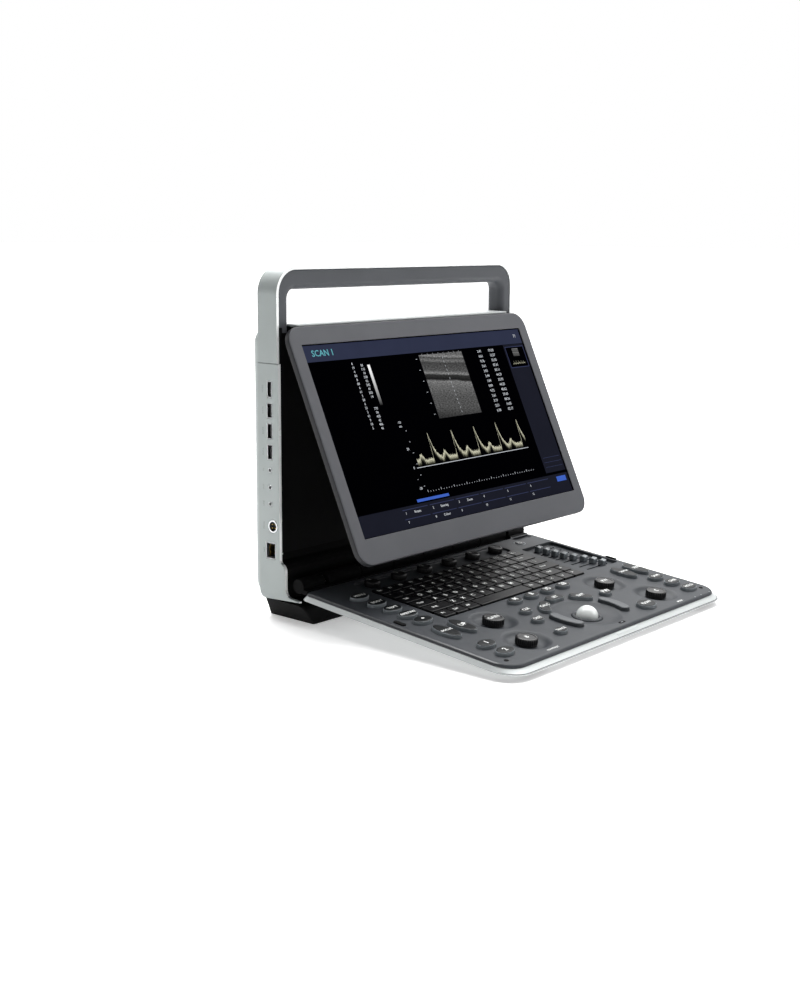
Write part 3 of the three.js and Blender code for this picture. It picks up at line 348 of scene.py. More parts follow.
def rounded(x0, x1, y0, y1, radius, steps=6):
    """A rounded rectangle. The radius is one number, or four from the bottom left, anticlockwise."""
    radii = radius if isinstance(radius, tuple) else (radius,) * 4
    corners = [(x0, y0, 1, 1, 180), (x1, y0, -1, 1, 270), (x1, y1, -1, -1, 0), (x0, y1, 1, -1, 90)]

    def outline(grow):
        points = []
        for (x, y, into_x, into_y, start), corner_radius in zip(corners, radii):
            r = max(corner_radius + grow, 0.05)
            cx, cy = x - into_x * grow + into_x * r, y - into_y * grow + into_y * r
            for i in range(steps + 1):
                angle = math.radians(start + 90 * i / steps)
                points.append((cx + r * math.cos(angle), cy + r * math.sin(angle)))
        return points

    return outline


def ellipse(cx, cy, rx, ry, steps=32):
    def outline(grow):
        turns = [2 * math.pi * i / steps for i in range(steps)]
        return [(cx + (rx + grow) * math.cos(a), cy + (ry + grow) * math.sin(a)) for a in turns]

    return outline


def circle(cx, cy, steps=48):
    """A circle whose radius is how far it is grown."""
    return ellipse(cx, cy, 0, 0, steps)


def arc_bar(cx, cy, inner, outer, start, end, steps=14):
    """A bar with round ends, bent about a centre from one angle to another."""
    middle, half = (inner + outer) / 2, (outer - inner) / 2
    first, last = start + half / middle, end - half / middle
    turns = [math.pi * i / (steps // 2) for i in range(1, steps // 2)]

    def along(radius, begin, finish_at):
        angles = [begin + (finish_at - begin) * i / steps for i in range(steps + 1)]
        return [(cx + radius * math.cos(angle), cy + radius * math.sin(angle)) for angle in angles]

    def round_end(at, turned, radius):
        return [(cx + middle * math.cos(at) + radius * math.cos(at + turned + turn),
                 cy + middle * math.sin(at) + radius * math.sin(at + turned + turn)) for turn in turns]

    def outline(grow):
        return (along(middle + half + grow, first, last) + round_end(last, 0, half + grow)
                + along(middle - half - grow, last, first) + round_end(first, math.pi, half + grow))

    return outline


# ---- Meshes ----


def ring_at(bm, points, height):
    return [bm.verts.new((x, y, height)) for x, y in points]


def bridge(bm, low, high):
    count = len(low)
    for i in range(count):
        j = (i + 1) % count
        bm.faces.new((low[i], low[j], high[j], high[i]))


def stack(bm, outline, profile, caps=(True, True)):
    """Rings of one outline, each (growth, height), joined into a body. Gives its first and last ring."""
    rings = [ring_at(bm, outline(grow), height) for grow, height in profile]
    for low, high in zip(rings, rings[1:]):
        bridge(bm, low, high)
    if caps[0]:
        bm.faces.new(list(reversed(rings[0])))
    if caps[1]:
        bm.faces.new(rings[-1])
    return rings[0], rings[-1]


def sheet(bm, *loops):
    """A flat face between an outline and the holes in it."""
    edges = []
    for loop in loops:
        for a, b in zip(loop, loop[1:] + loop[:1]):
            edges.append(bm.edges.get((a, b)) or bm.edges.new((a, b)))
    bmesh.ops.triangle_fill(bm, edges=edges, use_beauty=True, normal=(0, 0, 1))


def loft(bm, rings, closed=False):
    """Rings joined one to the next: round into a loop if closed, otherwise with a cap on each end."""
    pairs = list(zip(rings, rings[1:])) + ([(rings[-1], rings[0])] if closed else [])
    for low, high in pairs:
        bridge(bm, low, high)
    if not closed:
        bm.faces.new(list(reversed(rings[0])))
        bm.faces.new(rings[-1])


def tube(bm, outline, wall, profile):
    """A closed wall that follows an outline, each step (growth, height) being on its outside."""
    outside = [ring_at(bm, outline(grow), height) for grow, height in profile]
    inside = [ring_at(bm, outline(grow - wall), height) for grow, height in reversed(profile)]
    loft(bm, outside + inside, closed=True)


def softened_box(bm, x0, x1, y0, y1, z0, z1, radius=0.6):
    """A box with every edge rounded."""
    edge = min(radius, (x1 - x0) / 2.1, (y1 - y0) / 2.1, (z1 - z0) / 2.1)
    near = 0.3 * edge
    profile = [(-edge, z0), (-near, z0 + near), (0, z0 + edge),
               (0, z1 - edge), (-near, z1 - near), (-edge, z1)]
    stack(bm, rounded(x0, x1, y0, y1, edge, 3), profile)


def finish(name, bm, body, material, place=WORLD, replaces=(), smooth=32, thickness=None,
           up=False):
    """Places a mesh drawn in millimetres, shades it, and makes it ride on a CAD body."""
    bmesh.ops.recalc_face_normals(bm, faces=bm.faces)
    if up and sum(f.normal.z * f.calc_area() for f in bm.faces) < 0:
        bmesh.ops.reverse_faces(bm, faces=bm.faces)
    bm.transform(place @ Matrix.Scale(MM, 4))
    mesh = bpy.data.meshes.new(name)
    bm.to_mesh(mesh)
    bm.free()
    for polygon in mesh.polygons:
        polygon.use_smooth = True
    mesh.set_sharp_from_angle(angle=math.radians(smooth))
    made = bpy.data.objects.new(name, mesh)
    bpy.context.scene.collection.objects.link(made)
    for one in material if isinstance(material, (list, tuple)) else [material]:
        mesh.materials.append(MATERIAL[one])
    if thickness:
        solidify = made.modifiers.new("thickness", "SOLIDIFY")
        solidify.thickness = thickness * MM
        solidify.offset = -1
    weighted = made.modifiers.new("shading", "WEIGHTED_NORMAL")
    weighted.keep_sharp = True
    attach(made, body)
    if replaces:
        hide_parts(*replaces)
    return made


def lettering(name, labels, body, material, place=WORLD):
    """Raised print: each label is (text, x, y, height of the surface, letter height, turn in degrees)."""
    bm = bmesh.new()
    for text, x, y, height, size, turn in labels:
        curve = bpy.data.curves.new(name, "FONT")
        curve.body = text
        curve.size = size
        curve.align_x = "CENTER"
        curve.align_y = "CENTER"
        curve.resolution_u = 2
        curve.extrude = 0.03
        curve.offset = 0.012 * size
        writer = bpy.data.objects.new(name, curve)
        mesh = bpy.data.meshes.new_from_object(writer)
        mesh.transform(Matrix.Translation((x, y, height)) @ Matrix.Rotation(math.radians(turn), 4, "Z"))
        bm.from_mesh(mesh)
        bpy.data.objects.remove(writer)
        bpy.data.curves.remove(curve)
        bpy.data.meshes.remove(mesh)
    return finish(name, bm, body, material, place)


# ---- Main unit: silver skins, handle, deck ----

UNIT_LOW, UNIT_HIGH = span("handle_band")
HALF_WIDTH = UNIT_HIGH.x
UNIT_TOP = UNIT_HIGH.z
UNIT_BACK = UNIT_HIGH.y
SEAM = UNIT_LOW.z
BAND_FRONT = min(p.y for p in points_of("handle_band", WORLD) if p.z > UNIT_TOP - 5)
SKIN = 3.2
CORNER = 26


def face_loops(node, place, level):
    """The outlines of the flat face of a CAD node that lies at a level, the outer one first."""
    points = points_of(node, place)
    edges = {}
    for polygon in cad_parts[node].data.polygons:
        corners = [points[i] for i in polygon.vertices]
        if max(abs(p.z - level) for p in corners) > 0.02:
            continue
        keys = [(round(p.x, 2), round(p.y, 2)) for p in corners]
        for a, b in zip(keys, keys[1:] + keys[:1]):
            if (b, a) in edges:
                del edges[(b, a)]
            else:
                edges[(a, b)] = True
    following = {a: b for a, b in edges}
    loops = []
    while following:
        start = next(iter(following))
        loop = [start]
        after = following.pop(start)
        while after != start:
            loop.append(after)
            after = following.pop(after)
        loops.append(loop)
    return sorted(loops, key=lambda loop: -abs(area(loop)))


def area(loop):
    return sum(ax * by - bx * ay for (ax, ay), (bx, by) in zip(loop, loop[1:] + loop[:1])) / 2


def offset_loop(loop):
    """A loop as an outline: each corner moves along the line that halves it."""

    def outline(grow):
        moved = []
        count = len(loop)
        for i in range(count):
            before, here, after = (Vector(loop[(i + step) % count]) for step in (-1, 0, 1))
            first = (here - before).normalized()
            second = (after - here).normalized()
            out = Vector((first.y + second.y, -first.x - second.x))
            out = out.normalized() / max(math.cos(first.angle(second, 0) / 2), 0.4)
            moved.append(tuple(here + out * grow))
        return moved

    return outline


def brighten_front_edge(made):
    """Paints a highlight: gives the second, near-white material to the faces of a piece that look towards the
    user, in place of the light they catch.
    """
    for polygon in made.data.polygons:
        if polygon.normal.y < -0.6:
            polygon.material_index = 1


def side_panel(name, place):
    """A silver side: the CAD outline with its port openings, its edges rounded, and its front faces painted
    near-white as a painted highlight.
    """
    low, high = span(name, place)
    loops = face_loops(name, place, high.z)
    turning = 1 if area(loops[0]) > 0 else -1
    bm = bmesh.new()
    edge = 0.7
    front, back = [], []
    for number, loop in enumerate(loops):
        loop = loop if turning > 0 else loop[::-1]
        outline = offset_loop(loop)
        soft = edge if number == 0 else 0.35
        profile = [(-soft, high.z), (-0.3 * soft, high.z - 0.3 * soft), (0, high.z - soft), (0, low.z)]
        first, last = stack(bm, outline, profile, (False, False))
        front.append(first)
        back.append(last)
    sheet(bm, *front)
    sheet(bm, *back)
    made = finish(name + "_skin", bm, "main_unit", ["silver", "bright"], place, (name,))
    brighten_front_edge(made)
    return made


side_panel("left_side_panel", LEFT)
side_panel("right_side_panel", RIGHT)


def arch_path(half_width, top, bottom, corner, steps=14):
    """Up the left, over the top and down the right, as points with their outward directions."""
    path = [((-half_width, bottom), 180)]
    for centre_x, start in ((-half_width + corner, 180), (half_width - corner, 90)):
        for i in range(steps + 1):
            degrees = start - 90 * i / steps
            angle = math.radians(degrees)
            point = (centre_x + corner * math.cos(angle), top - corner + corner * math.sin(angle))
            path.append((point, degrees))
    path.append(((half_width, bottom), 0))
    return [(Vector(point), math.radians(degrees)) for point, degrees in path]


def handle_band():
    """The skin over the handle: a thin arch whose front edge is rounded, its front faces painted near-white
    as a painted highlight.
    """
    bm = bmesh.new()
    forward = Vector((0, -1, 0))
    path = []
    for point, angle in arch_path(HALF_WIDTH, UNIT_TOP, SEAM, CORNER):
        outward = Vector((math.cos(angle), 0, math.sin(angle)))
        path.append((Vector((point.x, 0, point.y)), outward))
    soft = 0.9
    back, front = -UNIT_BACK, -BAND_FRONT
    profile = [(-SKIN, back), (-SKIN, front - 0.2), (-SKIN + 0.2, front), (-soft, front),
               (-0.3 * soft, front - 0.3 * soft), (0, front - soft), (0, back + soft),
               (-0.3 * soft, back + 0.3 * soft), (-soft, back)]
    rings = []
    for point, outward in path:
        rings.append([bm.verts.new(point + outward * a + forward * b) for a, b in profile])
    loft(bm, rings)
    band = finish("handle_band_skin", bm, "main_unit", ["silver", "bright"], WORLD,
                  ("handle_band",))
    brighten_front_edge(band)
    return band


handle_band()


DECK_TOP = 291.5
DECK_LIP = 165  # half the width of the deck's front part, which lies between the handle's posts
POSTS_END = 16  # behind this the deck reaches across the whole body


def deck():
    """The pale ledge that closes the body under the handle, seen over the monitor's top edge."""
    low, high = UNIT_LOW, UNIT_HIGH
    bm = bmesh.new()
    softened_box(bm, -DECK_LIP, DECK_LIP, low.y, POSTS_END + 1, DECK_TOP - 2.5, DECK_TOP, 0.9)
    softened_box(bm, low.x + 3, high.x - 3, POSTS_END, high.y, DECK_TOP - 2.6, DECK_TOP - 0.1, 0.9)
    return finish("deck_plate", bm, "main_unit", "pale", WORLD)


deck()


POST_DROP = 8.5  # the handle's posts reach this far down in front of the deck's ends
GRIP_OPENING = (167, 323.7, 9)  # half its width, its top, and the radius of its corners


def handle_grip():
    """The dark bar and posts inside the band, square where they meet it and rounded to the hand."""
    low, high = span("handle_grip")
    outer_corner = CORNER - SKIN
    outer = arch_path(high.x, high.z, low.z - POST_DROP, outer_corner)
    inner = arch_path(*GRIP_OPENING[:2], low.z - POST_DROP, GRIP_OPENING[2])
    round_inner, round_outer = 7, 0.6
    bm = bmesh.new()
    rings = []
    for (out, _), (into, _) in zip(outer, inner):
        across = (into - out).normalized()
        ring = []
        for side, direction in ((low.y, -1), (high.y, 1)):
            section = []
            for i in range(6):
                angle = math.radians(90 * i / 5)
                section.append((into - across * round_inner * (1 - math.sin(angle)),
                                side - direction * round_inner * (1 - math.cos(angle))))
            corner = [(out, side - direction * round_outer), (out + across * round_outer, side)]
            ring.append(corner + section)
        front, rear = ring
        points = front + rear[::-1]
        rings.append([bm.verts.new((p.x, y, p.y)) for p, y in points])
    loft(bm, rings)
    return finish("handle_grip_moulding", bm, "main_unit", "grip", WORLD, ("handle_grip",))


handle_grip()

# ---- Rear cover and foot ----

SCREW_RADIUS = 3.2
COVER_INSET = 34  # how far the rear cover draws in from its rim to its flat back


def paint(bm, since, index):
    """Gives the faces made since a count of faces the material at an index."""
    bm.faces.ensure_lookup_table()
    for number in range(since, len(bm.faces)):
        bm.faces[number].material_index = index


def boxes_in_face(node, place, level):
    """The bounding boxes (x0, x1, y0, y1, corners) of the openings in a flat face of a CAD node."""
    found = []
    for loop in face_loops(node, place, level)[1:]:
        xs, ys = [x for x, _ in loop], [y for _, y in loop]
        found.append((min(xs), max(xs), min(ys), max(ys), len(loop)))
    return found


def rear_outline(low, high):
    """The outline of the rear cover, whose corners stay round as it narrows towards its back face."""

    def outline(grow):
        radius = max(15 + grow / 2, 6)
        return rounded(low.x, high.x, low.y, high.y, radius - grow, 8)(grow)

    return outline


def rear_cover():
    """A shell that bulges backward, with soft-edged ventilation slots and the hole for the inlet."""
    low, high = span("rear_cover", BACK)
    outline = rear_outline(low, high)
    inset, steps = COVER_INSET, 14
    bm = bmesh.new()
    profile = [(-0.5, low.z)]
    for step in range(steps + 1):
        angle = math.radians(90 * step / steps)
        profile.append((-inset * (1 - math.cos(angle)), low.z + (high.z - low.z) * math.sin(angle)))
    _, last = stack(bm, outline, profile, (False, False))
    loops = [last]
    for x0, x1, y0, y1, _ in boxes_in_face("rear_cover", BACK, high.z):
        slot = y1 - y0 < 8
        edge = rounded(x0 - 0.3, x1 + 0.3, y0 - 0.3, y1 + 0.3, 2.6 if slot else 1.5, 4)
        _, ring = stack(bm, edge, [(-0.6, high.z - 0.9), (-0.45, high.z - 0.3), (0, high.z)], (False, False))
        loops.append(ring)
    sheet(bm, *loops)
    return finish("rear_cover_shell", bm, "main_unit", "silver", BACK, ("rear_cover",),
                  thickness=2.2, up=True)


rear_cover()
_, REAR_HIGH = span("rear_cover", BACK)


def screw(bm, x, y, level, radius=SCREW_RADIUS):
    """A countersunk cross-head screw: a dished head with a cross cut in it."""
    profile = [(radius, level - 0.6), (radius, level + 0.05), (radius - 0.5, level + 0.35)]
    _, rim = stack(bm, circle(x, y, 20), profile, (True, False))
    arm, reach = 0.22 * radius, 0.6 * radius
    cross = [(arm, arm), (arm, reach), (-arm, reach), (-arm, arm), (-reach, arm), (-reach, -arm),
             (-arm, -arm), (-arm, -reach), (arm, -reach), (arm, -arm), (reach, -arm), (reach, arm)]
    top = ring_at(bm, [(x + a, y + b) for a, b in cross], level + 0.35)
    bottom = ring_at(bm, [(x + a, y + b) for a, b in cross], level - 0.4)
    bridge(bm, bottom, top)
    bm.faces.new(list(reversed(bottom)))
    sheet(bm, rim, top)


def rear_details():
    """What is fixed to the rear cover: the battery door, screws, corner bumpers and a blank plate."""
    level = REAR_HIGH.z
    bm = bmesh.new()
    door = rounded(-124, 24, 58, 102, 5)
    stack(bm, door, [(-0.4, level - 0.8), (0, level - 0.5), (0, level + 0.4), (-0.7, level + 0.9)])
    grip = rounded(-72, -28, 88, 95, 3.4)
    stack(bm, grip, [(0.4, level + 0.8), (0.2, level + 1.5), (-1.1, level + 1.9)])
    finish("battery_door", bm, "main_unit", "silver", BACK)
    bm = bmesh.new()
    for side in (-1, 1):
        screw(bm, side * 139, 148, level)
        screw(bm, side * 40, 245, level)
    for x in (-117, 17):
        screw(bm, x, 80, level + 0.9, 2.4)
    finish("rear_screws", bm, "main_unit", "steel", BACK)
    bm = bmesh.new()
    for x in (-139, 139):
        for y in (108, 188):
            pad = circle(x, y, 32)
            stack(bm, pad, [(7.3, level - 1), (7, level + 1.6), (6.2, level + 2.6), (4.8, level + 3)])
    finish("rear_bumpers", bm, "main_unit", "rubber", BACK)
    bm = bmesh.new()
    softened_box(bm, -52, 52, 112, 168, level - 0.3, level + 0.25, 0.2)
    finish("blank_rating_plate", bm, "main_unit", "pale", BACK)


rear_details()


def power_inlet():
    """The three blades inside the mains inlet, and its flange."""
    x0, x1, y0, y1, _ = max(boxes_in_face("rear_cover", BACK, REAR_HIGH.z), key=lambda box: box[3] - box[2])
    level = REAR_HIGH.z
    middle = (x0 + x1) / 2
    centre = (y0 + y1) / 2
    bm = bmesh.new()
    for dx, dy in ((-6.5, -1.5), (0, 2), (6.5, -1.5)):
        softened_box(bm, middle + dx - 1, middle + dx + 1, centre + dy - 2.4, centre + dy + 2.4,
                     level - 8, level - 2.4, 0.5)
    finish("power_inlet_blades", bm, "main_unit", "steel", BACK)
    bm = bmesh.new()
    flange = rounded(x0 + 0.5, x1 - 0.5, y0 + 0.5, y1 - 0.5, 2.5)
    tube(bm, flange, 1.5, [(0, level - 6), (0, level + 0.5), (-0.5, level + 0.9)])
    finish("power_inlet_flange", bm, "main_unit", "black", BACK)


power_inlet()


def base_foot():
    """The black foot, which narrows to the floor, with a soft front edge; it stands on four thin pads."""
    low, high = span("base_foot")
    half_bottom, back_top, nose, brow = 167, 27, 2.5, 6
    pad = 0.3
    bm = bmesh.new()

    def section(z):
        half = half_bottom + (high.x - half_bottom) * z / high.z
        back = high.y + (back_top - high.y) * z / high.z
        front = low.y
        if z < nose:
            front += nose - math.sqrt(nose * nose - (nose - z) ** 2)
        if z > high.z - brow:
            front += brow - math.sqrt(max(brow * brow - (z - high.z + brow) ** 2, 0))
        return ring_at(bm, rounded(-half, half, front, back, 2.5, 5)(0), z)

    rings = [section(z) for z in (pad, 0.8, 1.4, 2.5, 9, 15.5, 17, 18.5, 19.8, 20.8, 21.3, high.z)]
    loft(bm, rings)
    finish("base_foot_block", bm, "main_unit", "rubber", WORLD, ("base_foot",), smooth=40)
    bm = bmesh.new()
    for x in (-132, 132):
        for y in (-4, 26):
            stack(bm, ellipse(x, y, 16, 6.5), [(-1, 0), (0, 0.5), (0, pad + 0.3)])
    finish("foot_pads", bm, "main_unit", "black", WORLD)


base_foot()

# ---- Connectors on the left side ----

_, LEFT_HIGH = span("left_side_panel", LEFT)
PORT_BOXES = sorted(boxes_in_face("left_side_panel", LEFT, LEFT_HIGH.z), key=lambda box: -box[3])
ROUND_CORNERS = 8  # an opening with more corners than this is round


def left_connectors():
    """Metal shells in the openings of the left panel, with their tongues, contacts and pins."""
    face = LEFT_HIGH.z
    shells, cores, contacts = bmesh.new(), bmesh.new(), bmesh.new()
    square = [box for box in PORT_BOXES if box[4] <= ROUND_CORNERS]
    for number, (x0, x1, y0, y1, _) in enumerate(square):
        first, last = number == 0, number == len(square) - 1
        radius = (2.6, 0.6, 0.6, 2.6) if first else 0.7
        shell = rounded(x0 + 0.2, x1 - 0.2, y0 + 0.2, y1 - 0.2, radius, 3)
        deep = face - 10
        tube(shells, shell, 0.4, [(0, deep), (0, face - 0.3), (-0.1, face - 0.05)])
        softened_box(cores, x0 + 0.4, x1 - 0.4, y0 + 0.4, y1 - 0.4, deep - 0.8, deep + 0.6, 0.3)
        if last:
            tube(cores, rounded(x0 + 1.1, x1 - 1.1, y0 + 1.1, y1 - 1.1, 0.3, 2), 1.0,
                 [(0, deep), (0, face - 1.2)])
            for i in range(8):
                y = y0 + 3.2 + i * (y1 - y0 - 6.4) / 7
                softened_box(contacts, x0 + 2.4, x0 + 3, y - 0.3, y + 0.3, deep, face - 2.5, 0.15)
        else:
            middle = (x0 + x1) / 2
            softened_box(cores, middle - 1.1, middle + 0.8, y0 + 2.2, y1 - 2.2, deep, face - 1.6, 0.4)
            for i in range(4):
                y = y0 + 3.6 + i * (y1 - y0 - 7.2) / 3
                softened_box(contacts, middle + 0.7, middle + 1, y - 0.5, y + 0.5, deep + 1, face - 2.4, 0.1)
    for x0, x1, y0, y1, corners in PORT_BOXES:
        if corners <= ROUND_CORNERS:
            continue
        cx, cy, r = (x0 + x1) / 2, (y0 + y1) / 2, (x1 - x0) / 2
        wall = 0.4 if r < 4 else 1.3
        hole = circle(cx, cy, 32)
        tube(shells, hole, wall, [(r - 0.25, face - 8), (r - 0.25, face), (r - 0.45, face + 0.3)])
        stack(cores, hole, [(r - 0.5, face - 8.5), (r - 0.5, face - (7 if r < 4 else 3.5))])
        if r > 4:
            for i in range(4):
                angle = math.radians(45 + 90 * i)
                px, py = cx + 2.6 * math.cos(angle), cy + 2.6 * math.sin(angle)
                stack(contacts, circle(px, py, 12),
                      [(0.55, face - 4), (0.55, face - 1.2), (0.3, face - 0.7)])
    finish("port_shells", shells, "main_unit", "steel", LEFT)
    finish("port_cores", cores, "main_unit", "black", LEFT, ("side_port_block",))
    finish("port_contacts", contacts, "main_unit", "gold", LEFT)
    names = ["VIDEO", "DATA", "DATA", "DATA", "IN", "OUT", "LINE", "PEDAL", "NET"]
    labels = [(names[i], -25.2, (y0 + y1) / 2, face + 0.02, 2.6, 90)
              for i, (_, _, y0, y1, _) in enumerate(PORT_BOXES)]
    lettering("port_labels", labels, "main_unit", "grey_print", LEFT)


left_connectors()

# ---- Transducer sockets on the right side ----


def probe_socket(name):
    """A long socket: a black frame, a steel shroud, a tongue with rows of contacts, and a latch lever."""
    low, high = span(name, RIGHT)
    face, deep = high.z, high.z - 8
    middle = (low.x + high.x) / 2
    bm = bmesh.new()
    tube(bm, rounded(low.x, high.x, low.y, high.y, 2, 4), 1.9,
         [(0, low.z), (0, face + 0.2), (-0.4, face + 0.6)])
    softened_box(bm, low.x + 1.5, high.x - 1.5, low.y + 1.5, high.y - 1.5, deep - 1.4, deep, 0.4)
    softened_box(bm, middle - 1.8, middle + 1.8, low.y + 10, high.y - 10, deep - 0.5, face - 2, 0.7)
    faces = len(bm.faces)
    tube(bm, rounded(low.x + 2.4, high.x - 2.4, low.y + 3, high.y - 9, 1.4, 4), 0.7,
         [(0, deep - 0.2), (0, face - 1.2)])
    paint(bm, faces, 1)
    faces = len(bm.faces)
    for i in range(26):
        y = low.y + 12 + i * (high.y - low.y - 24) / 25
        for side in (-1, 1):
            softened_box(bm, middle + side * 1.95 - 0.2, middle + side * 1.95 + 0.2, y - 0.45, y + 0.45,
                         deep, face - 2.6, 0.1)
    paint(bm, faces, 2)
    faces = len(bm.faces)
    softened_box(bm, middle - 2.6, middle + 2.6, high.y - 7.6, high.y - 3.4, deep - 0.4, face - 1.6, 0.9)
    paint(bm, faces, 0)
    finish(name + "_body", bm, "main_unit", ["black", "steel", "gold"], RIGHT, (name,))


probe_socket("probe_socket_upper")
probe_socket("probe_socket_lower")

# ---- Monitor ----

BEZEL_LOW, BEZEL_HIGH = span("monitor_bezel", MONITOR)
LCD_LOW, LCD_HIGH = span("lcd_panel", MONITOR)
SCREEN_X0, SCREEN_X1, SCREEN_Y0, SCREEN_Y1, _ = boxes_in_face("monitor_bezel", MONITOR, BEZEL_HIGH.z)[0]
BEZEL_CORNER = 17


def monitor_bezel():
    """The matt front frame: softly rounded outside, with a fine chamfer down to the glass."""
    outline = rounded(BEZEL_LOW.x, BEZEL_HIGH.x, BEZEL_LOW.y, BEZEL_HIGH.y, BEZEL_CORNER, 12)
    opening = rounded(SCREEN_X0, SCREEN_X1, SCREEN_Y0, SCREEN_Y1, 0.6, 2)
    front, back = BEZEL_HIGH.z, BEZEL_LOW.z
    bm = bmesh.new()
    outer = [(-0.4, back), (0, back + 0.5), (0, front - 1.5), (-0.35, front - 0.6), (-1.1, front - 0.1),
             (-1.7, front)]
    low_ring, high_ring = stack(bm, outline, outer, (False, False))
    inner = [(0, back), (0, front - 0.6), (0.5, front)]
    low_hole, high_hole = stack(bm, opening, inner, (False, False))
    sheet(bm, high_ring, high_hole)
    sheet(bm, low_ring, low_hole)
    made = finish("monitor_bezel_frame", bm, "monitor", ["bezel", "bezel_side", "glass"], MONITOR,
                  ("monitor_bezel",), smooth=40)
    facing = MONITOR.to_3x3() @ Vector((0, 0, 1))
    to_place = MONITOR.inverted()
    for polygon in made.data.polygons:
        centre = to_place @ polygon.center / MM
        inside = SCREEN_X0 - 0.6 < centre.x < SCREEN_X1 + 0.6 and SCREEN_Y0 - 0.6 < centre.y < SCREEN_Y1 + 0.6
        if polygon.normal.dot(facing) < 0.5:
            polygon.material_index = 2 if inside else 1
    return made


monitor_bezel()


def display_glass():
    bm = bmesh.new()
    softened_box(bm, LCD_LOW.x, LCD_HIGH.x, LCD_LOW.y, LCD_HIGH.y, LCD_LOW.z, LCD_HIGH.z, 0.3)
    return finish("display_glass", bm, "monitor", "glass", MONITOR, ("lcd_panel",))


display_glass()

LAYER = 0.05  # each layer of the picture stands this far in front of the one behind


def on_screen(across, down):
    """A place on the display, given as fractions of its width and height from the top left."""
    return (SCREEN_X0 + across * (SCREEN_X1 - SCREEN_X0), SCREEN_Y1 - down * (SCREEN_Y1 - SCREEN_Y0))


def lit_box(bm, left, top, right, bottom, layer=1):
    """A flat lit rectangle of the display, between fractions of its width and height."""
    x0, y1 = on_screen(left, top)
    x1, y0 = on_screen(right, bottom)
    level = LCD_HIGH.z + LAYER * layer
    stack(bm, rounded(x0, x1, y0, y1, 0.1, 1), [(0, level - 0.8 * LAYER), (0, level)])


def lit_picture(name, left, top, right, bottom, material, layer=2):
    """A lit rectangle whose material is drawn across it, from its top left corner."""
    bm = bmesh.new()
    lit_box(bm, left, top, right, bottom, layer)
    mapped = bm.loops.layers.uv.new("UVMap")
    x0, y1 = on_screen(left, top)
    x1, y0 = on_screen(right, bottom)
    for face in bm.faces:
        for loop in face.loops:
            at = loop.vert.co
            loop[mapped].uv = ((at.x - x0) / (x1 - x0), (y1 - at.y) / (y1 - y0))
    return finish(name, bm, "monitor", material, MONITOR)


SOFT_KEY_COLUMNS = [0.184 + 0.119 * i for i in range(6)]
SIDE_COLUMN = 0.891
BAND_BOTTOM = 0.09
KEYS_TOP = 0.885


def display_layout():
    """The coloured areas of the display: title band, side column, two rows of soft keys, progress bar."""
    bm = bmesh.new()
    lit_box(bm, 0.002, 0.004, 0.998, BAND_BOTTOM)
    finish("display_title_band", bm, "monitor", "navy", MONITOR)
    bm = bmesh.new()
    lit_box(bm, SIDE_COLUMN, BAND_BOTTOM + 0.002, 0.998, 0.87)
    lit_box(bm, 0.002, KEYS_TOP, 0.998, 0.996)
    for left in SOFT_KEY_COLUMNS:
        lit_box(bm, left, 0.9, left + 0.11, 0.94, 2)
        lit_box(bm, left, 0.948, left + 0.11, 0.988, 2)
    finish("display_side_column_and_keys", bm, "monitor", "navy_dark", MONITOR)
    bm = bmesh.new()
    for left in SOFT_KEY_COLUMNS:
        for top in (0.9, 0.948):
            lit_box(bm, left, top, left + 0.11, top + 0.0035, 3)
    lit_box(bm, 0.897, 0.105, 0.994, 0.109, 3)
    lit_box(bm, 0.897, 0.109, 0.899, 0.23, 3)
    lit_box(bm, 0.992, 0.109, 0.994, 0.23, 3)
    lit_box(bm, 0.897, 0.23, 0.994, 0.234, 3)
    for row in range(3):
        lit_box(bm, 0.9, 0.78 + 0.028 * row, 0.99, 0.782 + 0.028 * row, 3)
    finish("display_lines", bm, "monitor", "navy_line", MONITOR)
    bm = bmesh.new()
    lit_box(bm, 0.257, 0.862, 0.4, 0.877, 2)
    lit_box(bm, 0.935, 0.9, 0.985, 0.93, 3)
    finish("display_progress_bar", bm, "monitor", "display_blue", MONITOR)
    bm = bmesh.new()
    lit_box(bm, 0.9, 0.11, 0.991, 0.229, 2)
    finish("display_thumbnail_ground", bm, "monitor", "glass", MONITOR)


display_layout()
lit_picture("display_scan", 0.47, 0.105, 0.674, 0.463, "tissue")
lit_picture("display_thumbnail", 0.93, 0.118, 0.962, 0.165, "tissue", 3)
lit_picture("display_grey_scale", 0.236, 0.13, 0.247, 0.35, "wedge")

TRACE = {"left": 0.312, "right": 0.843, "base": 0.7, "peak": 0.528, "first_peak": 0.393, "period": 0.1087}


def flow_height(phase):
    """The height of a pulse, from 0 to 1, over one heartbeat that starts at its peak."""
    if phase > 0.94:
        return 0.2 + 0.8 * (phase - 0.94) / 0.06
    fall = math.exp(-phase / 0.1)
    bump = 0.2 * math.exp(-((phase - 0.47) / 0.09) ** 2)
    return 0.15 + 0.85 * fall + bump * (phase > 0.2) + 0.05 * phase


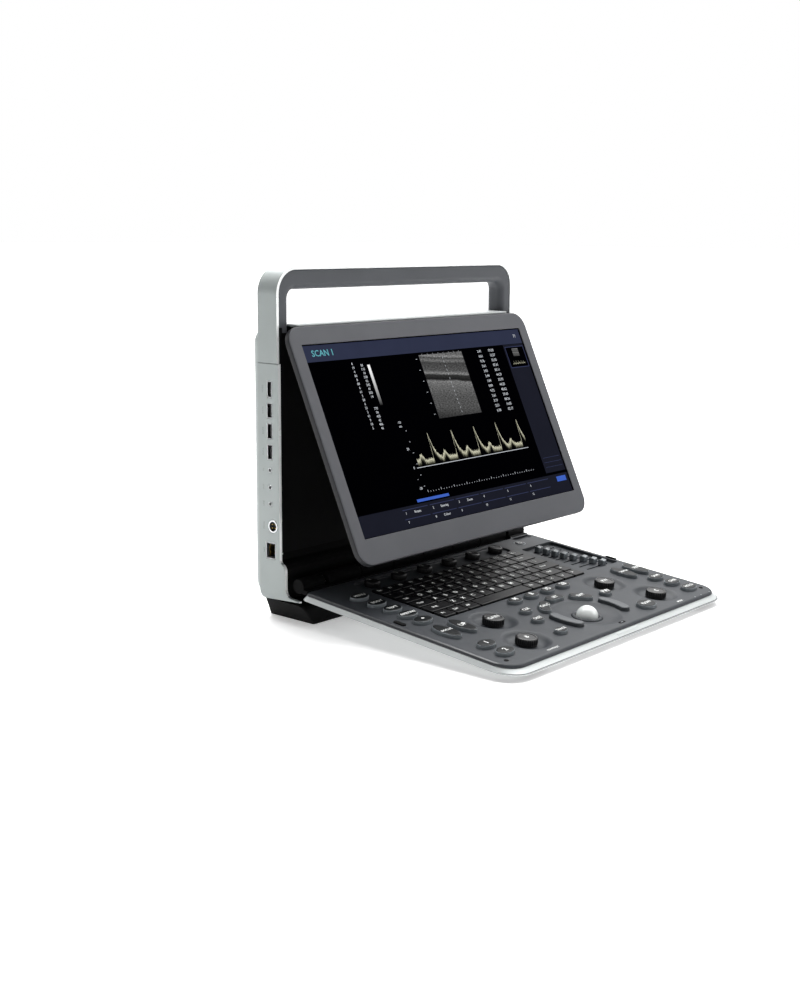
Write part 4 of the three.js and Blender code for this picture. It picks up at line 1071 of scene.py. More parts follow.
def flow_trace(name, left, right, base, peak, first_peak, period, columns, layer):
    """The pulse wave on the display: a grainy band that follows five heartbeats."""
    chance = random.Random(SEED)
    bm = bmesh.new()
    mapped = bm.loops.layers.uv.new("UVMap")
    level = LCD_HIGH.z + LAYER * layer
    pairs = []
    for i in range(columns + 1):
        across = left + (right - left) * i / columns
        phase = ((across - first_peak) / period) % 1.0
        height = flow_height(phase) + chance.uniform(-0.035, 0.05)
        thick = 0.2 + chance.uniform(-0.08, 0.06) + 0.1 * (phase < 0.1)
        bottom = max(height - thick, 0.02)
        x, y0 = on_screen(across, base - (base - peak) * bottom)
        _, y1 = on_screen(across, base - (base - peak) * max(height, bottom + 0.05))
        pairs.append((i / columns, bm.verts.new((x, y0, level)), bm.verts.new((x, y1, level))))
    for (s, low, high), (t, next_low, next_high) in zip(pairs, pairs[1:]):
        face = bm.faces.new((low, next_low, next_high, high))
        for loop, uv in zip(face.loops, ((s, 0), (t, 0), (t, 1), (s, 1))):
            loop[mapped].uv = uv
    return finish(name, bm, "monitor", "trace", MONITOR, thickness=0.04)


flow_trace("display_flow_trace", columns=520, layer=2, **TRACE)
flow_trace("display_thumbnail_trace", 0.915, 0.978, 0.215, 0.185, 0.92, 0.0125, 60, 3)


def display_marks():
    """The baseline, the scale ticks and the sample line on the display."""
    bm = bmesh.new()
    lit_box(bm, 0.302, 0.701, 0.845, 0.7045, 3)
    for i in range(44):
        left = 0.315 + 0.012 * i
        long = 0.012 if i % 5 == 0 else 0.005
        lit_box(bm, left, 0.836 - long, left + 0.0016, 0.836, 2)
    for i in range(6):
        lit_box(bm, 0.452, 0.125 + 0.062 * i, 0.458, 0.1275 + 0.062 * i, 2)
        lit_box(bm, 0.305, 0.5 + 0.06 * i, 0.31, 0.5025 + 0.06 * i, 2)
    for i in range(14):
        lit_box(bm, 0.575 + 0.0005 * i, 0.125 + 0.024 * i, 0.5764 + 0.0005 * i, 0.135 + 0.024 * i, 3)
    for i in range(8):
        lit_box(bm, 0.486 + 0.025 * i, 0.1, 0.4872 + 0.025 * i, 0.104, 2)
    finish("display_marks", bm, "monitor", "display_text", MONITOR)


display_marks()


SOFT_KEY_WORDS = [(0, 0.92, "Rotate"), (1, 0.92, "Steering"), (2, 0.92, "Zoom"), (1, 0.968, "Colour")]


def display_text():
    """Plain numbers on the display, in the columns beside the scan."""
    chance = random.Random(SEED)
    level = LCD_HIGH.z + LAYER

    def digits(count):
        return "".join(str(chance.randrange(10)) for _ in range(count))

    labels = []
    for row in range(13):
        x, y = on_screen(0.762, 0.116 + 0.0292 * row)
        labels.append((f"{digits(1)}:{digits(2)}", x, y, level, 4.2, 0))
        x, y = on_screen(0.822, 0.116 + 0.0292 * row)
        labels.append((f"{digits(2)}.{digits(2)}", x, y, level, 4.2, 0))
    for row in range(17):
        x, y = on_screen(0.176, 0.118 + 0.0215 * row)
        labels.append((digits(1 + row % 2), x, y, level, 3.6, 0))
        if row not in (9, 10):
            x, y = on_screen(0.214, 0.13 + 0.0212 * row)
            labels.append((digits(2 + row % 2), x, y, level, 3.6, 0))
    for down, text in ((0.453, "-10"), (0.474, "cm"), (0.598, "20"), (0.7, "0"), (0.76, "-"), (0.81, "-20")):
        x, y = on_screen(0.29, down)
        labels.append((text, x, y, level, 3.6, 0))
    for column, left in enumerate(SOFT_KEY_COLUMNS):
        for row, down in enumerate((0.92, 0.968)):
            x, y = on_screen(left + 0.012, down)
            labels.append((str(1 + column + 6 * row), x, y, level + 2 * LAYER, 3.4, 0))
    for column, down, text in SOFT_KEY_WORDS:
        x, y = on_screen(SOFT_KEY_COLUMNS[column] + 0.062, down)
        labels.append((text, x, y, level + 2 * LAYER, 3.6, 0))
    x, y = on_screen(0.968, 0.045)
    labels.append((digits(2), x, y, level + LAYER, 5, 0))
    lettering("display_numbers", labels, "monitor", "display_text", MONITOR)
    x, y = on_screen(0.075, 0.048)
    title = [("SCAN 1", x, y, level + LAYER, 9, 0)]
    lettering("display_title", title, "monitor", "display_teal", MONITOR)


display_text()

# ---- Control panel: cover and shell ----

SHELL_LOW, _ = span("panel_base_shell", PANEL)
COVER_LOW, COVER_HIGH = span("panel_top_cover", PANEL)
RIM = COVER_LOW.x - SHELL_LOW.x
EDGE_FLARE = 2.9  # how far the shell's edge leans out at the sides
FRONT_FLARE = 4.2  # and how much more it leans out in front


def panel_outline(grow):
    """The panel's outline, which leans further in at the front than at the sides as it shrinks."""
    lean = FRONT_FLARE * min(max(-grow / EDGE_FLARE, 0), 1)
    return rounded(COVER_LOW.x - RIM, COVER_HIGH.x + RIM, COVER_LOW.y - RIM + lean, COVER_HIGH.y + RIM,
                   (25, 25, 9, 9), 10)(grow)


LARGE_KNOBS = ["gain_knob_upper_left", "gain_knob_lower_left",
               "mode_knob_upper_right", "mode_knob_lower_right"]
SMALL_KNOBS = [f"menu_knob_{i}" for i in range(1, 7)]
SLIDERS = [f"depth_gain_slider_{i}" for i in range(1, 9)]
BENT_KEYS = ["upper_arc_keys", "left_select_bar", "right_select_bar"]
OVAL_KEYS = ["left_key_column", "left_paddle_keys", "left_corner_keys", "right_paddle_keys",
             "right_key_column", "centre_key_row", "left_round_keys", "right_round_keys"]
CLEARANCE = 0.45  # between a button and its hole


def centre_of(node):
    low, high = span(node, PANEL)
    return (low + high) / 2


BALL = centre_of("trackball")


def key_outline(node, top):
    """The smooth outline of one button, from the corners of its CAD top."""
    if node not in BENT_KEYS:
        return ellipse(*top["centre"], *top["half"])
    middle = math.atan2(top["centre"][1] - BALL.y, top["centre"][0] - BALL.x)
    angles = [math.atan2(y - BALL.y, x - BALL.x) for x, y in top["corners"]]
    turns = [(angle - middle + math.pi) % (2 * math.pi) - math.pi for angle in angles]
    radii = [math.hypot(x - BALL.x, y - BALL.y) for x, y in top["corners"]]
    return arc_bar(BALL.x, BALL.y, min(radii), max(radii), middle + min(turns), middle + max(turns))


KEY_OUTLINES = {node: [key_outline(node, top) for top in tops(node)] for node in OVAL_KEYS + BENT_KEYS}
WELL_LOW, WELL_HIGH = Vector((120, -155.5)), Vector((176, -64.7))  # of the sliders' well
SLOT_ENDS = (131.2, 170.3)  # of the sliders' slots
TROUGH = (-126, 108, -61, -37)  # under the small knobs: x0, x1, y0, y1, as in the next line
FINGER_DIP = (146, 176, -40, -30.5)
EDGE_SHADE_LEVEL = -0.25  # below this the rolled edge of the cover takes the darker, glossier rim colour: painted shade, with a real gloss
KEYBOARD_LOW, KEYBOARD_HIGH = span("keyboard", PANEL)


def panel_cover():
    """The grey top cover: its edge rolls over and is painted darker there as painted shade, and every recess
    in it has soft edges.
    """
    bm = bmesh.new()
    edge = [(-4.4, -3.2), (-3.3, -3.1), (-3.1, -2.7), (-3.25, -2.0), (-3.7, -1.15), (-4.5, -0.45),
            (-5.5, -0.1), (-6.6, 0)]
    _, outer = stack(bm, panel_outline, edge, (False, False))
    loops = [outer]

    def recess(outline, profile, floor=True):
        low, high = stack(bm, outline, profile, (floor, False))
        loops.append(high)
        return low

    for knob in LARGE_KNOBS:
        at = centre_of(knob)
        bowl = [(11, -4.3), (14, -4.2), (16.2, -3.8), (18, -3.15), (19.6, -2.25), (21, -1.3), (22.4, -0.6),
                (23.7, -0.15), (25, 0)]
        recess(circle(at.x, at.y, 64), bowl)
    dish = [(15.5, -7), (15.5, -4.4), (16.2, -4.2), (20, -4.0), (24, -3.5), (27.5, -2.7), (30.5, -1.7),
            (33, -0.7), (34.3, -0.2), (35.6, 0)]
    recess(circle(BALL.x, BALL.y, 80), dish, False)
    board = rounded(KEYBOARD_LOW.x - 0.5, KEYBOARD_HIGH.x + 0.5,
                    KEYBOARD_LOW.y - 0.5, KEYBOARD_HIGH.y + 0.5, 2.4)
    recess(board, [(0, -4.6), (0, -0.5), (0.15, -0.15), (0.5, 0)], False)
    recess(rounded(*TROUGH, 7, 8), [(-2.4, -2.2), (-1, -2.05), (-0.25, -1.3), (0.1, -0.5), (0.8, 0)])
    well = rounded(WELL_LOW.x, WELL_HIGH.x, WELL_LOW.y, WELL_HIGH.y, 3)
    walls = [(-2.4, -4), (-1.0, -3.8), (-0.3, -3.1), (0, -0.9), (0.25, -0.3), (0.8, 0)]
    well_floor = recess(well, walls, False)
    slots = [well_floor]
    for slider in SLIDERS:
        y = centre_of(slider).y
        slot = rounded(*SLOT_ENDS, y - 1.15, y + 1.15, 1.1, 3)
        _, high = stack(bm, slot, [(0, -5), (0, -4)], (True, False))
        slots.append(high)
    sheet(bm, *slots)
    recess(rounded(*FINGER_DIP, 4.6, 6), [(-3.4, -2.4), (-1.6, -2.15), (-0.5, -1.2), (0.1, -0.4), (0.9, 0)])
    power = centre_of("power_button")
    recess(ellipse(power.x, power.y, 7.4, 6.4), [(0, -3.4), (0, -0.4), (0.3, 0)], False)
    for outlines in KEY_OUTLINES.values():
        for outline in outlines:
            recess(outline, [(CLEARANCE, -3.4), (CLEARANCE, -0.3), (CLEARANCE + 0.25, 0)], False)
    sheet(bm, *loops)
    made = finish("panel_cover_moulding", bm, "control_panel", ["cover", "rim"], PANEL,
                  ("panel_top_cover",), smooth=50, thickness=1.2, up=True)
    to_place = PANEL.inverted()
    for polygon in made.data.polygons:
        at = to_place @ polygon.center / MM
        near_edge = min(at.x - SHELL_LOW.x, -SHELL_LOW.x - at.x,
                        at.y - COVER_LOW.y + RIM, COVER_HIGH.y + RIM - at.y)
        # painted shade: the rolled edge near the outline takes the darker rim colour
        if near_edge < 6.5 and at.z < EDGE_SHADE_LEVEL:
            polygon.material_index = 1
    return made


panel_cover()

SHELL_TOP, SHELL_BOTTOM = -3, -10
# How low the belly is: from back to front, and from the middle outward.
BELLY_SIDE = [(52, SHELL_BOTTOM), (57, -20), (180, -20), (233, -17), (275, -12.4), (280, SHELL_BOTTOM)]
BELLY_SECTION = [(0, -21), (104, -20.5), (112, -13.5), (132, SHELL_BOTTOM)]
# Where the belly's grid has its lines: from the middle outward, which is mirrored, and from back to front.
HALF_GRID = [20, 60, 98, 103.8, 104.8, 107, 109.5, 111.5, 112.5, 117, 122, 127, 132]
GRID_ROWS = [52, 53, 54.5, 56, 57.5, 62, 90, 120, 150, 176, 184, 205, 228, 238, 255, 271, 273.5, 275.5,
             277, 278.5, 280]


def belly_depth(x, v):
    """How low the belly of the shell is at a place, with its ridges softened."""

    def along(points, at):
        for (a, ha), (b, hb) in zip(points, points[1:]):
            if at <= b:
                return ha + (hb - ha) * (at - a) / (b - a)
        return points[-1][1]

    side = along(BELLY_SIDE, v)
    section = along(BELLY_SECTION, abs(x))
    soft = 1.2
    blend = max(soft - abs(side - section), 0) / soft
    return min(max(side, section) + blend * blend * soft / 4, SHELL_BOTTOM)


def panel_shell():
    """The silver base: an edge that leans outward and rolls under, painted dark where it rolls under as a
    painted shade line, and the deeper belly underneath.
    """
    bm = bmesh.new()
    edge = [(-4.4, -3.0), (-3.4, -3.2), (-2.9, -3.5), (-2.3, -4.4), (-1.2, -5.8), (-0.4, -6.8), (0, -7.3),
            (-0.2, -7.55), (-1.3, -7.8), (-2.6, -8.5), (-4.2, -9.5), (-5.6, SHELL_BOTTOM)]
    _, bottom = stack(bm, panel_outline, edge, (False, False))
    xs = [-x for x in reversed(HALF_GRID)] + HALF_GRID
    grid = [[bm.verts.new((x, -v, belly_depth(x, v))) for x in xs] for v in GRID_ROWS]
    for row, below in zip(grid, grid[1:]):
        for i in range(len(xs) - 1):
            bm.faces.new((row[i], row[i + 1], below[i + 1], below[i]))
    border = grid[0] + [row[-1] for row in grid[1:-1]] + grid[-1][::-1] + [row[0] for row in grid[-2:0:-1]]
    for vert in border:
        vert.co.z = SHELL_BOTTOM
    sheet(bm, bottom, border)
    bmesh.ops.recalc_face_normals(bm, faces=bm.faces)
    if sum(f.normal.z * f.calc_area() for f in bm.faces) > 0:
        bmesh.ops.reverse_faces(bm, faces=bm.faces)
    made = finish("panel_shell_moulding", bm, "control_panel", ["pale", "rim"], PANEL,
                  ("panel_base_shell",), smooth=38, thickness=1.3)
    to_place = PANEL.inverted()
    # painted shade: the band where the edge rolls under takes the dark rim colour
    for polygon in made.data.polygons:
        if SHELL_BOTTOM + 0.1 < (to_place @ polygon.center).z / MM < -7.4:
            polygon.material_index = 1
    return made


panel_shell()


def panel_hinge():
    """The black knuckles on the panel and the barrel between them, each with turned-down ends."""
    at = PANEL.inverted() @ (sum(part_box("panel_hinge_rod"), Vector()) / 2) / MM
    radius = 7.5
    barrel_low, barrel_high = span("panel_hinge_barrel")
    centre = sum(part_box("panel_hinge_rod"), Vector()) / 2 / MM
    along_x = Matrix.Rotation(math.radians(90), 4, "Y")

    def turned_rod(bm, x0, x1, place):
        profile = [(radius - 1.2, x0), (radius - 0.3, x0 + 0.4), (radius, x0 + 1.2), (radius, x1 - 1.2),
                   (radius - 0.3, x1 - 0.4), (radius - 1.2, x1)]
        part = bmesh.new()
        stack(part, circle(0, 0, 40), profile)
        part.transform(place @ along_x)
        mesh = bpy.data.meshes.new("part")
        part.to_mesh(mesh)
        part.free()
        bm.from_mesh(mesh)
        bpy.data.meshes.remove(mesh)

    bm = bmesh.new()
    for side in (-1, 1):
        x0, x1 = sorted((side * 149.8, side * 180.8))
        turned_rod(bm, x0, x1, Matrix.Translation(at))
        softened_box(bm, x0 + 0.5, x1 - 0.5, COVER_HIGH.y - 1, at.y - 2, at.z - 6.6, at.z - 1.5, 0.8)
    # the knuckles take the darkened black: painted shade
    finish("panel_hinge_knuckles", bm, "control_panel", "recess", PANEL, smooth=40)
    bm = bmesh.new()
    steps = 6
    length = (barrel_high.x - barrel_low.x) / steps
    for i in range(steps):
        x0 = barrel_low.x + i * length
        turned_rod(bm, x0 + 0.2, x0 + length - 0.2, Matrix.Translation(centre))
    softened_box(bm, barrel_low.x, barrel_high.x, centre.y + 4.5, barrel_high.y, 35, 44.5, 0.8)
    # the sleeve takes the darkened black: painted shade
    finish("panel_hinge_sleeve", bm, "main_unit", "recess", WORLD, ("panel_hinge_barrel",),
           smooth=40)


panel_hinge()

# ---- Keyboard ----

KEY_LEGENDS = [
    ["Esc"] + [f"F{i}" for i in range(1, 13)] + ["Ins", "Del"],
    list("`1234567890-=") + ["Back"],
    ["Tab"] + list("QWERTYUIOP[]") + ["\\"],
    ["Caps"] + list("ASDFGHJKL;'") + ["Enter"],
    ["Shift"] + list("ZXCVBNM,./") + ["Shift", "^"],
    ["Fn", "Ctrl", "Alt", "", "Alt", "Ctrl", "<", "v", ">"],
]


def keyboard():
    """Flat keys with soft edges and a slight dish, on the mat that joins them, and their letters."""
    keys = tops("keyboard")
    level = keys[0]["level"]
    low, high = span("keyboard", PANEL)
    bm = bmesh.new()
    softened_box(bm, low.x, high.x, low.y, high.y, low.z, low.z + 1.4, 0.4)
    for key in keys:
        (cx, cy), (hx, hy) = key["centre"], key["half"]
        outline = rounded(cx - hx, cx + hx, cy - hy, cy + hy, 1.3, 4)
        profile = [(0, low.z + 0.8), (0, level - 0.7), (-0.2, level - 0.2), (-0.65, level),
                   (-1.6, level - 0.04), (-3.2, level - 0.14)]
        stack(bm, outline, profile)
    finish("keyboard_keys", bm, "keyboard", "key", PANEL, ("keyboard",), smooth=50)
    labels = []
    rows = sorted({round(key["centre"][1]) for key in keys}, reverse=True)
    for legends, row in zip(KEY_LEGENDS, rows):
        in_row = [key for key in keys if round(key["centre"][1]) == row]
        for text, key in zip(legends, in_row):
            (cx, cy), (hx, _) = key["centre"], key["half"]
            size = 6.4 if len(text) == 1 else 4.4
            if text:
                labels.append((text, cx - 0.2 * hx, cy + 1.2, level - 0.1, size, 0))
    lettering("keyboard_letters", labels, "keyboard", "print", PANEL)


keyboard()

# ---- Buttons ----

BUTTON_WORDS = {
    "left_key_column": ["MENU", "BODY", "TEXT", "ARROW", "+"],
    "left_paddle_keys": ["UP", "FOCUS"],
    "left_corner_keys": ["1", "2"],
    "right_paddle_keys": ["DEPTH", "SIZE"],
    "right_key_column": ["SAVE", "CINE", "HOLD"],
    "centre_key_row": ["M", "B", "3D", "2B"],
    "upper_arc_keys": ["SET", "CALC", "EXIT"],
    "left_round_keys": ["CLR", "DIST", "TRACE"],
    "right_round_keys": ["PW", "FLOW"],
    "left_select_bar": [""],
    "right_select_bar": [""],
}


CAP_RISE = 0.6  # of a button's crown over the flat top of its CAD piece


def button_group(node):
    """Raised buttons: a pale skirt round each, a glossy dark cap that is slightly crowned, and its mark."""
    level = tops(node)[0]["level"]
    bar = node.endswith("bar")
    bm = bmesh.new()
    for outline in KEY_OUTLINES[node]:
        stack(bm, outline, [(0, -4.6), (0.3, -0.5), (0.1, level - 0.3), (-0.1, level), (-0.5, level + 0.1)])
        faces = len(bm.faces)
        cap = [(-0.35, level - 0.2), (-0.3, level + 0.1), (-0.5, level + 0.35), (-1.0, level + 0.5),
               (-2.0, level + CAP_RISE)]
        stack(bm, outline, cap)
        paint(bm, faces, 1)
    materials, slot = (["bar", "bar"], "bar_grey") if bar else (["skirt", "button"], "button_dark")
    finish(f"{node}_caps", bm, node, materials, PANEL, (node,), smooth=50)
    labels = []
    for top, word in zip(tops(node), BUTTON_WORDS[node]):
        (cx, cy), (hx, _) = top["centre"], top["half"]
        if word:
            size = min(8 if len(word) < 3 else 5.6, 3 * hx / len(word))
            labels.append((word, cx, cy, level + CAP_RISE - 0.02, size, 0))
    if labels:
        lettering(f"{node}_marks", labels, node, "print", PANEL)


for group in OVAL_KEYS + BENT_KEYS:
    button_group(group)


def power_button():
    """A round button in an oval well, with a bright ring round it."""
    low, high = span("power_button", PANEL)
    at = (low + high) / 2
    radius = (high.x - low.x) / 2
    bm = bmesh.new()
    cap = [(radius - 0.2, low.z), (radius - 0.1, high.z - 0.5), (radius - 0.5, high.z - 0.1),
           (radius - 1.2, high.z), (radius - 2.4, high.z - 0.15)]
    stack(bm, circle(at.x, at.y, 40), cap)
    finish("power_button_cap", bm, "power_button", "bar", PANEL, ("power_button",), smooth=50)
    bm = bmesh.new()
    arc = arc_bar(at.x, at.y, 2.0, 2.5, math.radians(-235), math.radians(55), 20)
    stack(bm, arc, [(0, high.z - 0.2), (0, high.z - 0.08)])
    softened_box(bm, at.x - 0.25, at.x + 0.25, at.y + 0.9, at.y + 3.2, high.z - 0.2, high.z - 0.08, 0.05)
    finish("power_button_mark", bm, "power_button", "print", PANEL)
    bm = bmesh.new()
    tube(bm, ellipse(at.x, at.y, 7.6, 6.6), 0.8, [(0, -0.8), (0, 0.15), (-0.3, 0.35)])
    finish("power_button_ring", bm, "control_panel", "skirt", PANEL)


power_button()

# ---- Knobs, sliders and trackball ----


def knob(node, flutes, word):
    """A black knob: a finely fluted side between plain edges, a sunk top and a printed disc."""
    low, high = span(node, PANEL)
    at = (low + high) / 2
    radius = (high.x - low.x) / 2
    count = flutes * 4

    def side(depth):
        def outline(grow):
            points = []
            for i in range(count):
                angle = 2 * math.pi * i / count
                reach = radius + grow - depth * (0.5 - 0.5 * math.cos(angle * flutes))
                points.append((at.x + reach * math.cos(angle), at.y + reach * math.sin(angle)))
            return points

        return outline

    cut = 0.045 * radius + 0.15
    bm = bmesh.new()
    steps = [(-0.6, low.z, 0), (-0.2, low.z + 0.3, 0), (-0.15, low.z + 1.2, 0), (0, low.z + 1.5, cut),
             (0, high.z - 1.3, cut), (-0.3, high.z - 0.8, cut * 0.6), (-0.9, high.z - 0.25, 0),
             (-1.7, high.z, 0), (-2.3, high.z - 0.08, 0), (-2.6, high.z - 0.5, 0), (-2.9, high.z - 0.55, 0),
             (-3.1, high.z - 0.3, 0)]
    rings = [ring_at(bm, side(depth)(grow), height) for grow, height, depth in steps]
    loft(bm, rings)
    finish(f"{node}_cap", bm, node, "knob", PANEL, (node,), smooth=45)
    if word:
        lettering(f"{node}_mark", [(word, at.x, at.y, high.z - 0.28, 0.62 * radius, 0)], node, "print", PANEL)
    else:
        bm = bmesh.new()
        softened_box(bm, at.x - 0.35, at.x + 0.35, at.y + radius * 0.2, at.y + radius - 3.4, high.z - 0.4,
                     high.z - 0.25, 0.05)
        finish(f"{node}_mark", bm, node, "print", PANEL)


for name, word in zip(LARGE_KNOBS, ["GAIN", "B", "PW", "C"]):
    knob(name, 30, word)
for name in SMALL_KNOBS:
    knob(name, 24, None)


def slider_cap(node):
    """A slider cap: a saddle between two raised ends, on its stem."""
    low, high = span(node, PANEL)
    at = (low + high) / 2
    bottom = -3.6
    bm = bmesh.new()
    count = 9
    half_x, half_y = (high.x - low.x) / 2, (high.y - low.y) / 2
    profile = []
    for i in range(count):
        x = -half_x + 0.4 + (2 * half_x - 0.8) * i / (count - 1)
        profile.append((x, high.z - 1.3 * math.cos(math.pi * x / (2 * half_x)) ** 2))
    section = [(-half_x, bottom), (-half_x, high.z - 0.5)] + profile
    section += [(half_x, high.z - 0.5), (half_x, bottom)]
    soft = 0.5
    rings = []
    for y, inset in ((-half_y, soft), (-half_y + soft, 0), (half_y - soft, 0), (half_y, soft)):
        ring = [(x * (1 - inset / half_x), min(z, high.z - 0.02) - inset * (z > 0)) for x, z in section]
        rings.append([bm.verts.new((at.x + x, at.y + y, z)) for x, z in ring])
    loft(bm, rings)
    softened_box(bm, at.x - 1.4, at.x + 1.4, at.y - 0.85, at.y + 0.85, low.z, bottom + 0.5, 0.3)
    finish(f"{node}_cap", bm, node, "skirt", PANEL, (node,), smooth=40)


for name in SLIDERS:
    slider_cap(name)


def trackball():
    """The pale glossy ball, and the dark ring that keeps it in."""
    low, high = span("trackball", PANEL)
    radius = (high.x - low.x) / 2
    bm = bmesh.new()
    bmesh.ops.create_icosphere(bm, subdivisions=5, radius=radius)
    bm.transform(Matrix.Translation(BALL))
    finish("trackball_sphere", bm, "trackball", "ball", PANEL, ("trackball",), smooth=60)
    ring_low, ring_high = span("trackball_ring", PANEL)
    outside = (ring_high.x - ring_low.x) / 2
    bm = bmesh.new()
    inside = radius + 0.5
    section = [(inside, ring_low.z), (inside, ring_high.z - 1.1), (inside + 0.5, ring_high.z - 0.2),
               (inside + 1.2, ring_high.z), (outside - 1.6, ring_high.z - 0.15),
               (outside - 0.4, ring_high.z - 0.7), (outside, ring_high.z - 1.4), (outside, ring_low.z)]
    rings = [ring_at(bm, circle(BALL.x, BALL.y, 64)(r), h) for r, h in section]
    loft(bm, rings, closed=True)
    finish("trackball_ring_collar", bm, "control_panel", "cover", PANEL, ("trackball_ring",),
           smooth=50)


trackball()

# ---- Small things on the panel ----


BUMPERS = {-1: (175.5, 2.6), 1: (179.5, 1.8)}  # of each side: how far out it is, and half its width


def panel_details():
    """Rubber bumpers, screw plugs, the lamp and its neighbours, and the printed words at the front."""
    bm = bmesh.new()
    for side in (-1, 1):
        middle, half = BUMPERS[side]
        pad = rounded(side * middle - half, side * middle + half, -151, -137, half - 0.1)
        stack(bm, pad, [(0, -0.8), (0, 0.7), (-0.4, 1.3), (-1.2, 1.5)])
        stack(bm, circle(side * 169.5, -262, 24), [(2.3, -0.5), (2.3, 0.2), (1.8, 0.5), (0.9, 0.3)])
    stack(bm, rounded(-1, 9, -271.6, -268, 1.6), [(0, -0.5), (0, 0.1), (-0.3, 0.2)])
    finish("panel_bumpers", bm, "control_panel", "rubber", PANEL)
    bm = bmesh.new()
    for u in (136.5, 148.6, 165.7):
        stack(bm, circle(u, -274, 12), [(0.8, -0.2), (0.8, 0.08), (0.4, 0.2)])
    stack(bm, rounded(2.2, 5.8, -270.4, -269.2, 0.5), [(0, 0.1), (0, 0.3)])
    finish("panel_lamps", bm, "control_panel", "lamp", PANEL)
    words = [("CONTRAST", -110.5, -270, 0.0, 3.4, 0), ("MODE", 111, -271, 0.0, 3.4, 0)]
    lettering("panel_words", words, "control_panel", "print", PANEL)


panel_details()


def latch_button():
    """The push latch in the front edge: a silver bar with round corners and a shallow finger hollow."""
    low, high = span("latch_button", PANEL)
    place = PANEL @ FRONT
    face = -low.y - 0.4
    bm = bmesh.new()
    top, bottom = -3.6, -7.8
    outline = rounded(low.x, high.x, bottom, top, 1.4, 5)
    profile = [(0, face - 2.4), (0, face - 0.4), (-0.3, face - 0.05), (-0.9, face), (-1.4, face - 0.2)]
    stack(bm, outline, profile)
    lean = (EDGE_FLARE + FRONT_FLARE) / (bottom - SHELL_TOP)
    for vert in bm.verts:
        vert.co.z += (bottom - vert.co.y) * -lean
    finish("latch_button_bar", bm, "latch_button", "pale", place, ("latch_button",),
           smooth=40)


latch_button()


def rubber_strip():
    """The strip that the front of the panel rests on, with soft edges and three grooves along it."""
    low, high = span("panel_rubber_strip")
    bm = bmesh.new()
    steps = 4
    width = (high.y - low.y) / steps
    softened_box(bm, low.x, high.x, low.y + 0.3, high.y - 0.3, 0.8, high.z - 0.6, 0.8)
    for i in range(steps):
        front, back = low.y + i * width + 0.4, low.y + (i + 1) * width - 0.2
        softened_box(bm, low.x + 1, high.x - 1, front, back, 0, 2, 0.5)
    finish("panel_rubber_strip_ribs", bm, "control_panel", "rubber", WORLD, ("panel_rubber_strip",))


rubber_strip()

# ---- CAD pieces whose shape is right ----

CARRIED_OVER = {
    # painted shade: the black front housing takes the darkened black
    "front_housing": "recess",
    "monitor_back_cover": "black",
    "monitor_hinge_bracket": "black",
    "monitor_hinge_rod": "steel",
    "panel_hinge_rod": "steel",
    "main_board": "board",
    "control_board": "board",
    "power_supply": "black",
    "battery_pack": "black",
    "fan_housing": "black",
    "fan_rotor": "black",
}


def carry_over():
    for node, material in CARRIED_OVER.items():
        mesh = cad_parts[node].data
        mesh.materials.clear()
        mesh.materials.append(MATERIAL[material])


carry_over()

# ---- Floor, light and camera ----

CAMERA_PLACE = Vector((-1098.73, -946.31, 379.18)) * MM
CAMERA_YAW, CAMERA_PITCH, CAMERA_ROLL = (math.radians(angle) for angle in (48.96, 10.99, 0.44))
LENS = 49.85
ROOM_LIGHT = 0.22
LIGHTS = [
    ("key", (1.6, -2.0, 1.8), 2.4, 30),
    ("top", (0.8, 0.5, 2.1), 2.6, 120),
    ("back", (0.2, 1.8, 1.8), 2.6, 45),
    ("side", (-2.6, 0.4, 0.9), 1.6, 4),
]


def camera():
    made = bpy.data.objects.new("camera", bpy.data.cameras.new("camera"))
    bpy.context.scene.collection.objects.link(made)
    made.data.lens = LENS
    made.data.sensor_width = 36
    ahead = Vector((math.sin(CAMERA_YAW) * math.cos(CAMERA_PITCH),
                    math.cos(CAMERA_YAW) * math.cos(CAMERA_PITCH),
                    -math.sin(CAMERA_PITCH)))
    right = Vector((math.cos(CAMERA_YAW), -math.sin(CAMERA_YAW), 0))
    above = right.cross(ahead)
    rolled_right = right * math.cos(CAMERA_ROLL) + above * math.sin(CAMERA_ROLL)
    rolled_above = above * math.cos(CAMERA_ROLL) - right * math.sin(CAMERA_ROLL)
    matrix = Matrix((rolled_right, rolled_above, -ahead)).transposed().to_4x4()
    matrix.translation = CAMERA_PLACE
    made.matrix_world = matrix
    bpy.context.scene.camera = made


def area_light(name, place, target, size, power):
    made = bpy.data.objects.new(name, bpy.data.lights.new(name, "AREA"))
    bpy.context.scene.collection.objects.link(made)
    made.data.size = size
    made.data.energy = power
    made.location = place
    made.rotation_mode = "QUATERNION"
    made.rotation_quaternion = (Vector(target) - Vector(place)).to_track_quat("-Z", "Y")
    return made


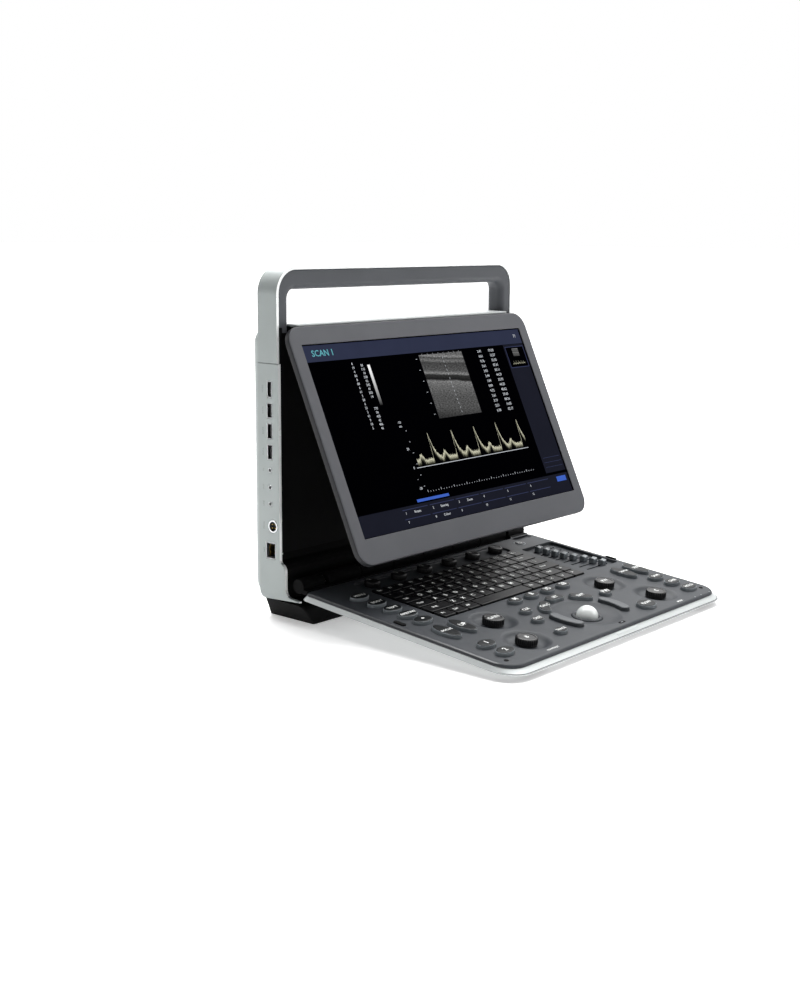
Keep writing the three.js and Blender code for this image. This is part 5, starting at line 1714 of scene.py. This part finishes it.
def studio():
    """A white backdrop behind the object and a dimmer room before it, with soft lights on four sides."""
    world = bpy.data.worlds.new("studio")
    world.use_nodes = True
    tree = world.node_tree
    background = tree.nodes["Background"]
    background.inputs["Strength"].default_value = 1.0
    coordinate = tree.nodes.new("ShaderNodeTexCoord")
    towards = tree.nodes.new("ShaderNodeVectorMath")
    towards.operation = "DOT_PRODUCT"
    towards.inputs[1].default_value = (math.sin(CAMERA_YAW), math.cos(CAMERA_YAW), 0)
    tree.links.new(coordinate.outputs["Generated"], towards.inputs[0])
    room, backdrop = (ROOM_LIGHT,) * 3 + (1,), (1, 1, 1, 1)
    tone = ramp_between(tree, towards.outputs["Value"], room, backdrop, 0.1, 0.75)
    tree.links.new(tone, background.inputs["Color"])
    bpy.context.scene.world = world
    bpy.context.scene.view_settings.view_transform = "Standard"
    for name, place, size, power in LIGHTS:
        area_light(name, place, (0, -0.05, 0.15), size, power)


FLOOR_GLOW = 0.34  # how much the floor glows at the object; it glows fully from 2.4 m away
GLOW_REACH = 4


def floor():
    """Plain pale paper that glows faintly, and more with distance, until it meets the white backdrop."""
    bpy.ops.mesh.primitive_plane_add(size=60, location=(0, 0, 0))
    ground = bpy.context.object
    ground.name = "floor"
    made, tree, shader = node_tree("floor_paper")
    blotches = noise_node(tree, 0.4, 3.0)
    tone = ramp_between(tree, blotches.outputs["Fac"], (0.9, 0.9, 0.9, 1), (0.93, 0.93, 0.93, 1))
    tree.links.new(tone, shader.inputs["Base Color"])
    shader.inputs["Roughness"].default_value = 0.9
    coordinate = tree.nodes.new("ShaderNodeTexCoord")
    distance = tree.nodes.new("ShaderNodeVectorMath")
    distance.operation = "LENGTH"
    tree.links.new(coordinate.outputs["Object"], distance.inputs[0])
    scaled = tree.nodes.new("ShaderNodeMath")
    scaled.operation = "DIVIDE"
    scaled.inputs[1].default_value = GLOW_REACH
    tree.links.new(distance.outputs["Value"], scaled.inputs[0])
    near = (FLOOR_GLOW,) * 3 + (1,)
    glow = ramp_between(tree, scaled.outputs["Value"], near, (1, 1, 1, 1), 0.12, 0.6)
    tree.links.new(glow, shader.inputs["Emission Color"])
    shader.inputs["Emission Strength"].default_value = 1.0
    ground.data.materials.append(made)


camera()
studio()
floor()
